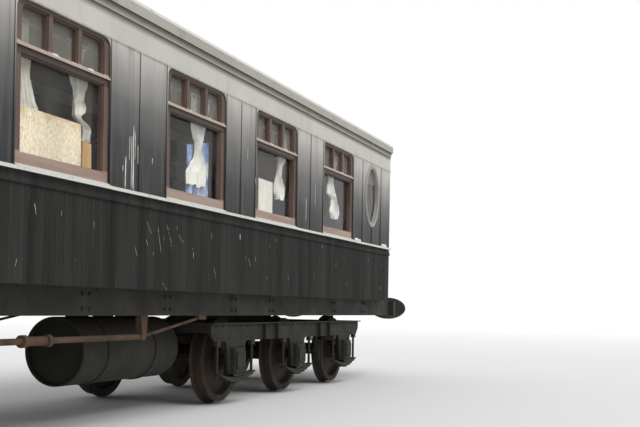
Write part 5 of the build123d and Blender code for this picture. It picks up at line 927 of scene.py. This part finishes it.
def make_chairs():
    """Four chairs at each pair of windows, as one piece of upholstery and one of legs."""
    chair_points, chair_faces = make_chair_mesh()
    for number, middle in enumerate(WINDOW_XS, 1):
        points, faces = [], []
        frames = Mould()
        for along, across, way in CHAIR_PLACES:
            first = len(points)
            for x, y, z in chair_points:
                points.append((middle + along + way * x, across + way * y, FLOOR_TOP + z))
            faces += [tuple(first + corner for corner in face) for face in chair_faces]
            for x, y in LEG_PLACES:
                foot = (middle + along + way * x, across + way * y, FLOOR_TOP)
                frames.lathe(foot, (0, 0, 1), LEG_OUTLINE, 12)
        upholstery = make_piece(f"armchair_upholstery_{number}", points, faces, "seat", smooth=True)
        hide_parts("armchairs")
        legs = frames.made(f"armchair_legs_{number}", "table", smooth=True)


make_chairs()

# Bolts and rivets, each seated on the face that a line from outside meets first
SIDE_START = 1.5
END_START = 9.6
HEADSTOCK_END = 9.2
BOGIE_FACE = 0.99
SOLEBAR_LEVELS = (1.035, 1.155)
SOLEBAR_RIVETS = [-8.75 + index * 0.5 for index in range(36)]
SOLEBAR_RIVET_LEVEL = 1.196
HEADSTOCK_BOLTS = ((0.30, 1.05), (0.30, 1.17), (0.58, 1.05), (0.58, 1.17))
GUIDE_LEVELS = (0.40, 0.48, 0.56, 0.64)
BOGIE_RIVETS = [PIVOT_X - 2.25 + index * 0.15 for index in range(31)]
BOGIE_RIVET_LEVELS = (0.735, 0.865)

# Their sizes: half the width across the corners of a bolt's head, and a rivet's radius
SOLEBAR_BOLT = 0.016
SOLEBAR_RIVET = 0.012
BUFFER_BOLT = 0.018
HEADSTOCK_BOLT = 0.015
GUIDE_BOLT = 0.012
BOX_BOLT = 0.010
BOGIE_RIVET = 0.010


def four_corners(across, up):
    """The corners of a rectangle about its middle."""
    return ((across, up), (across, -up), (-across, up), (-across, -up))


def fasten(put, node, start, outward, size, keeps=None):
    """Puts a bolt or rivet where a line inwards meets a node, if that spot is one to keep."""
    spot = seat_on(node, start, [-share for share in outward])
    if spot and (keeps is None or keeps(spot)):
        put(spot, outward, size)


def on_headstock(spot):
    return abs(spot.x) < HEADSTOCK_END


def on_bogie_face(spot):
    return abs(spot.y) > BOGIE_FACE


def fasten_underframe():
    """Bolts and rivets along the solebars, and bolts on the headstocks."""
    frame_bolts, end_bolts = Mould(), Mould()
    for side in (-1, 1):
        for way in (-1, 1):
            for cross in CROSS_XS:
                for x in (cross - 0.05, cross + 0.05):
                    for level in SOLEBAR_LEVELS:
                        start = (way * x, side * SIDE_START, level)
                        fasten(frame_bolts.bolt, "underframe", start, (0, side, 0), SOLEBAR_BOLT)
        for x in SOLEBAR_RIVETS:
            start = (x, side * SIDE_START, SOLEBAR_RIVET_LEVEL)
            fasten(frame_bolts.rivet, "underframe", start, (0, side, 0), SOLEBAR_RIVET)
    for way in (-1, 1):
        for side in (-1, 1):
            for y, level in four_corners(0.12, 0.085):
                start = (way * END_START, side * BUFFER_Y + y, BUFFER_LEVEL + level)
                fasten(end_bolts.bolt, "buffers", start, (way, 0, 0), BUFFER_BOLT, on_headstock)
            for y, level in HEADSTOCK_BOLTS:
                start = (way * END_START, side * y, level)
                fasten(end_bolts.bolt, "underframe", start, (way, 0, 0), HEADSTOCK_BOLT)
    frame_bolts.made("solebar_bolts", "chassis")
    end_bolts.made("headstock_bolts", "chassis")


def fasten_bogie(end, way):
    """Bolts on the horn guides and axleboxes of a bogie, and rivets along its frames."""
    bolts = Mould()
    bogie_frame, boxes = f"bogie_{end}_frame", f"bogie_{end}_axleboxes"
    for side in (-1, 1):
        outward = (0, side, 0)
        for offset in AXLE_OFFSETS:
            axle = way * (PIVOT_X + offset)
            for x in (-0.155, 0.155):
                for level in GUIDE_LEVELS:
                    start = (axle + x, side * SIDE_START, level)
                    fasten(bolts.bolt, bogie_frame, start, outward, GUIDE_BOLT, on_bogie_face)
            for x, level in four_corners(0.055, 0.075):
                start = (axle + x, side * SIDE_START, AXLE_LEVEL + level)
                fasten(bolts.bolt, boxes, start, outward, BOX_BOLT)
        for x in BOGIE_RIVETS:
            for level in BOGIE_RIVET_LEVELS:
                start = (way * x, side * SIDE_START, level)
                fasten(bolts.rivet, bogie_frame, start, outward, BOGIE_RIVET, on_bogie_face)
    bolts.made(f"bogie_{end}_bolts", "chassis", f"bogie_{end}")


fasten_underframe()
fasten_bogie("a", 1)
fasten_bogie("b", -1)


# Runs of pale paint on the side: X, level at the top, length and width
RUNS = (
    (0.933, 2.561, 0.52, 0.012), (0.875, 2.468, 0.20, 0.007), (0.905, 2.473, 0.44, 0.009),
    (1.000, 2.414, 0.16, 0.007), (0.958, 2.520, 0.24, 0.006), (0.818, 2.290, 0.26, 0.013),
    (0.778, 2.214, 0.05, 0.007), (0.935, 2.290, 0.27, 0.008), (1.236, 2.340, 0.05, 0.008),
    (3.327, 2.479, 0.09, 0.008), (4.803, 2.400, 0.28, 0.010), (3.140, 2.720, 0.10, 0.005),
    (3.420, 2.640, 0.14, 0.005), (4.960, 2.750, 0.20, 0.006), (5.100, 2.600, 0.26, 0.006),
    (2.987, 1.825, 0.06, 0.010),
)

# Scratches: (X, level) of both ends
SCRATCHES = (
    ((1.164, 1.784), (1.25, 1.68)), ((1.501, 1.788), (1.615, 1.573)),
    ((1.348, 1.757), (1.406, 1.534)), ((1.719, 1.716), (1.777, 1.656)),
    ((0.981, 1.558), (1.014, 1.485)), ((3.189, 1.588), (3.267, 1.497)),
    ((2.419, 1.448), (2.465, 1.352)), ((1.432, 1.271), (1.521, 1.212)),
    ((1.155, 1.632), (1.186, 1.587)), ((-0.343, 1.782), (-0.329, 1.699)),
)
SCRATCH_WIDTH = 0.004
FINE_WIDTH = 0.003
FINE_COUNT = 44
RUN_SUNK = 0.0005
RUN_THICK = 0.0015
MOST_STEP = 0.004
RUN_START_Y = -1.6
RUN_SHAPE = (0.35, 1.0, 0.75, 0.9, 0.6, 0.8, 0.25)


def make_runs():
    """Dried runs and scratches, 1 mm proud of the boards that they lie on. A stretch that would
    cross from one depth of the boards to another is left out."""
    runs, scratches = Mould(), Mould()
    draws = random.Random(31)
    lines = []
    for x, top, length, width in RUNS:
        lines.append(((x, top), (x + draws.uniform(-0.006, 0.006), top - length), width))
    lines += [(start, end, SCRATCH_WIDTH) for start, end in SCRATCHES]
    for _ in range(FINE_COUNT):
        x, top = draws.uniform(-8.0, 8.0), draws.uniform(1.30, 1.88)
        end = (x + draws.uniform(-0.02, 0.02), top - draws.uniform(0.02, 0.06))
        lines.append(((x, top), end, FINE_WIDTH))
    steps = len(RUN_SHAPE) - 1
    for start, end, width in lines:
        mould = runs if width > SCRATCH_WIDTH else scratches
        for step in range(steps):
            corners = []
            for share, side in ((step, -1), (step, 1), (step + 1, 1), (step + 1, -1)):
                x = start[0] + (end[0] - start[0]) * share / steps
                level = start[1] + (end[1] - start[1]) * share / steps
                x += side * width * RUN_SHAPE[share] / 2
                node = "upper_side_right" if level > WAIST_Z else "lower_side_right"
                spot = seat_on(node, (x, RUN_START_Y, level), (0, 1, 0))
                if spot:
                    corners.append((spot.x, spot.y + RUN_SUNK, spot.z))
            depths = [corner[1] for corner in corners]
            if len(corners) == 4 and max(depths) - min(depths) < MOST_STEP:
                mould.prism(corners, (0, -RUN_THICK, 0))
    runs.made("paint_runs", "lime")
    scratches.made("scratches", "scratch")


make_runs()


# Where the lime lies: X, half its spread, lumps and the largest one's size
RAIL_LIME = ((6.72, 0.11, 18, 0.034), (7.96, 0.10, 16, 0.034))
LEDGE_LIME = (
    (-0.130, 0.045, 6, 0.014), (0.105, 0.030, 3, 0.012), (0.330, 0.060, 6, 0.014),
    (1.900, 0.030, 4, 0.012), (2.230, 0.060, 5, 0.013), (3.780, 0.040, 4, 0.012),
    (4.180, 0.050, 4, 0.012), (6.050, 0.060, 4, 0.012),
)

# What it lies on: node, Y of the lumps, a level above them, and the places
LIME = (
    ("waist_rails", -1.322, 2.3, RAIL_LIME),
    ("window_frames_right", FRAME_FRONT + 0.008, 2.93, LEDGE_LIME),
)
ROUGHNESS = 0.28


def add_lump(points, faces, x, level, spot, size):
    """One rough lump, flattened and sunk into what it lies on."""
    lump = bmesh.new()
    bmesh.ops.create_icosphere(lump, subdivisions=2, radius=size)
    first = len(points)
    for vertex in lump.verts:
        rough = noise.noise(vertex.co * 60 + Vector((x, level, 0)) * 9)
        place = vertex.co * (1 + ROUGHNESS * rough)
        height = spot.z + size * 0.45 + place.z * 0.8
        points.append((x + place.x * 1.3, spot.y + place.y * 0.6, height))
    faces += [tuple(first + vertex.index for vertex in face.verts) for face in lump.faces]
    lump.free()


def make_lime():
    """Lumps of bird's lime on the waist rail and on the ledges of the transoms."""
    points, faces = [], []
    draws = random.Random(8)
    for node, depth, level, places in LIME:
        for middle, spread, count, largest in places:
            for _ in range(count):
                x = middle + draws.uniform(-spread, spread)
                spot = seat_on(node, (x, depth, level), (0, 0, -1))
                if spot:
                    size = draws.uniform(0.45, 1.0) * largest
                    add_lump(points, faces, x, level, spot, size)
    make_piece("lime_lumps", points, faces, "lime", smooth=True)


make_lime()


# Stage and light
FLOOR_GREY = 0.88
FLOOR_NEAR = 16
FLOOR_FAR = 46
FLOOR_REACH = 220
WORLD_LIGHT = 0.62
SUN_STRENGTH = 1.3
SUN_WIDTH = math.radians(40)
SUN_PLACE = Vector((-0.35, -0.7, 1.0))
WHITE = (1, 1, 1, 1)


def seen_rays(tree):
    """1 for a ray from the camera, or one that a mirror or glass has sent on."""
    light_path = tree.nodes.new("ShaderNodeLightPath")
    total = light_path.outputs["Is Camera Ray"]
    for kind in ("Is Glossy Ray", "Is Transmission Ray"):
        joined = tree.nodes.new("ShaderNodeMath")
        joined.operation = "ADD"
        joined.use_clamp = True
        tree.links.new(total, joined.inputs[0])
        tree.links.new(light_path.outputs[kind], joined.inputs[1])
        total = joined.outputs[0]
    return total


def make_stage():
    """A plain pale floor that keeps the object's shadow and goes white towards the horizon."""
    mesh = bpy.data.meshes.new("stage_floor")
    signs = ((-1, -1), (1, -1), (1, 1), (-1, 1))
    corners = [(x * FLOOR_REACH, y * FLOOR_REACH, 0) for x, y in signs]
    mesh.from_pydata(corners, [], [(0, 1, 2, 3)])
    floor = bpy.data.objects.new("stage_floor", mesh)
    bpy.context.scene.collection.objects.link(floor)
    finish = Finish("stage_floor", 0.9, specular=0.0)
    finish.colour((FLOOR_GREY, FLOOR_GREY, FLOOR_GREY, 1))
    length = finish.node("VectorMath")
    length.operation = "LENGTH"
    finish.feed(length.inputs[0], finish.place)
    far = finish.span(length.outputs["Value"], FLOOR_NEAR, FLOOR_FAR)
    seen = finish.math("MULTIPLY", far, seen_rays(finish.tree))
    white = finish.node("Emission", Color=WHITE).outputs[0]
    finish.surface(finish.layer(seen, finish.shader.outputs[0], white))
    mesh.materials.append(finish.material)


def make_light():
    """Plain soft light: a white sky all round and one wide sun from the photographed side."""
    world = bpy.data.worlds.new("world")
    bpy.context.scene.world = world
    world.use_nodes = True
    tree = world.node_tree
    back = tree.nodes["Background"]
    back.inputs["Color"].default_value = WHITE
    back.inputs["Strength"].default_value = WORLD_LIGHT
    seen = tree.nodes.new("ShaderNodeBackground")
    seen.inputs["Color"].default_value = WHITE
    seen.inputs["Strength"].default_value = 1
    mixed = tree.nodes.new("ShaderNodeMixShader")
    tree.links.new(seen_rays(tree), mixed.inputs[0])
    tree.links.new(back.outputs[0], mixed.inputs[1])
    tree.links.new(seen.outputs[0], mixed.inputs[2])
    tree.links.new(mixed.outputs[0], tree.nodes["World Output"].inputs["Surface"])
    sun = bpy.data.lights.new("sun", "SUN")
    sun.energy = SUN_STRENGTH
    sun.angle = SUN_WIDTH
    lamp = bpy.data.objects.new("sun", sun)
    lamp.rotation_euler = SUN_PLACE.to_track_quat("Z", "Y").to_euler()
    bpy.context.scene.collection.objects.link(lamp)


make_stage()
make_light()
bpy.context.scene.view_settings.view_transform = "Standard"
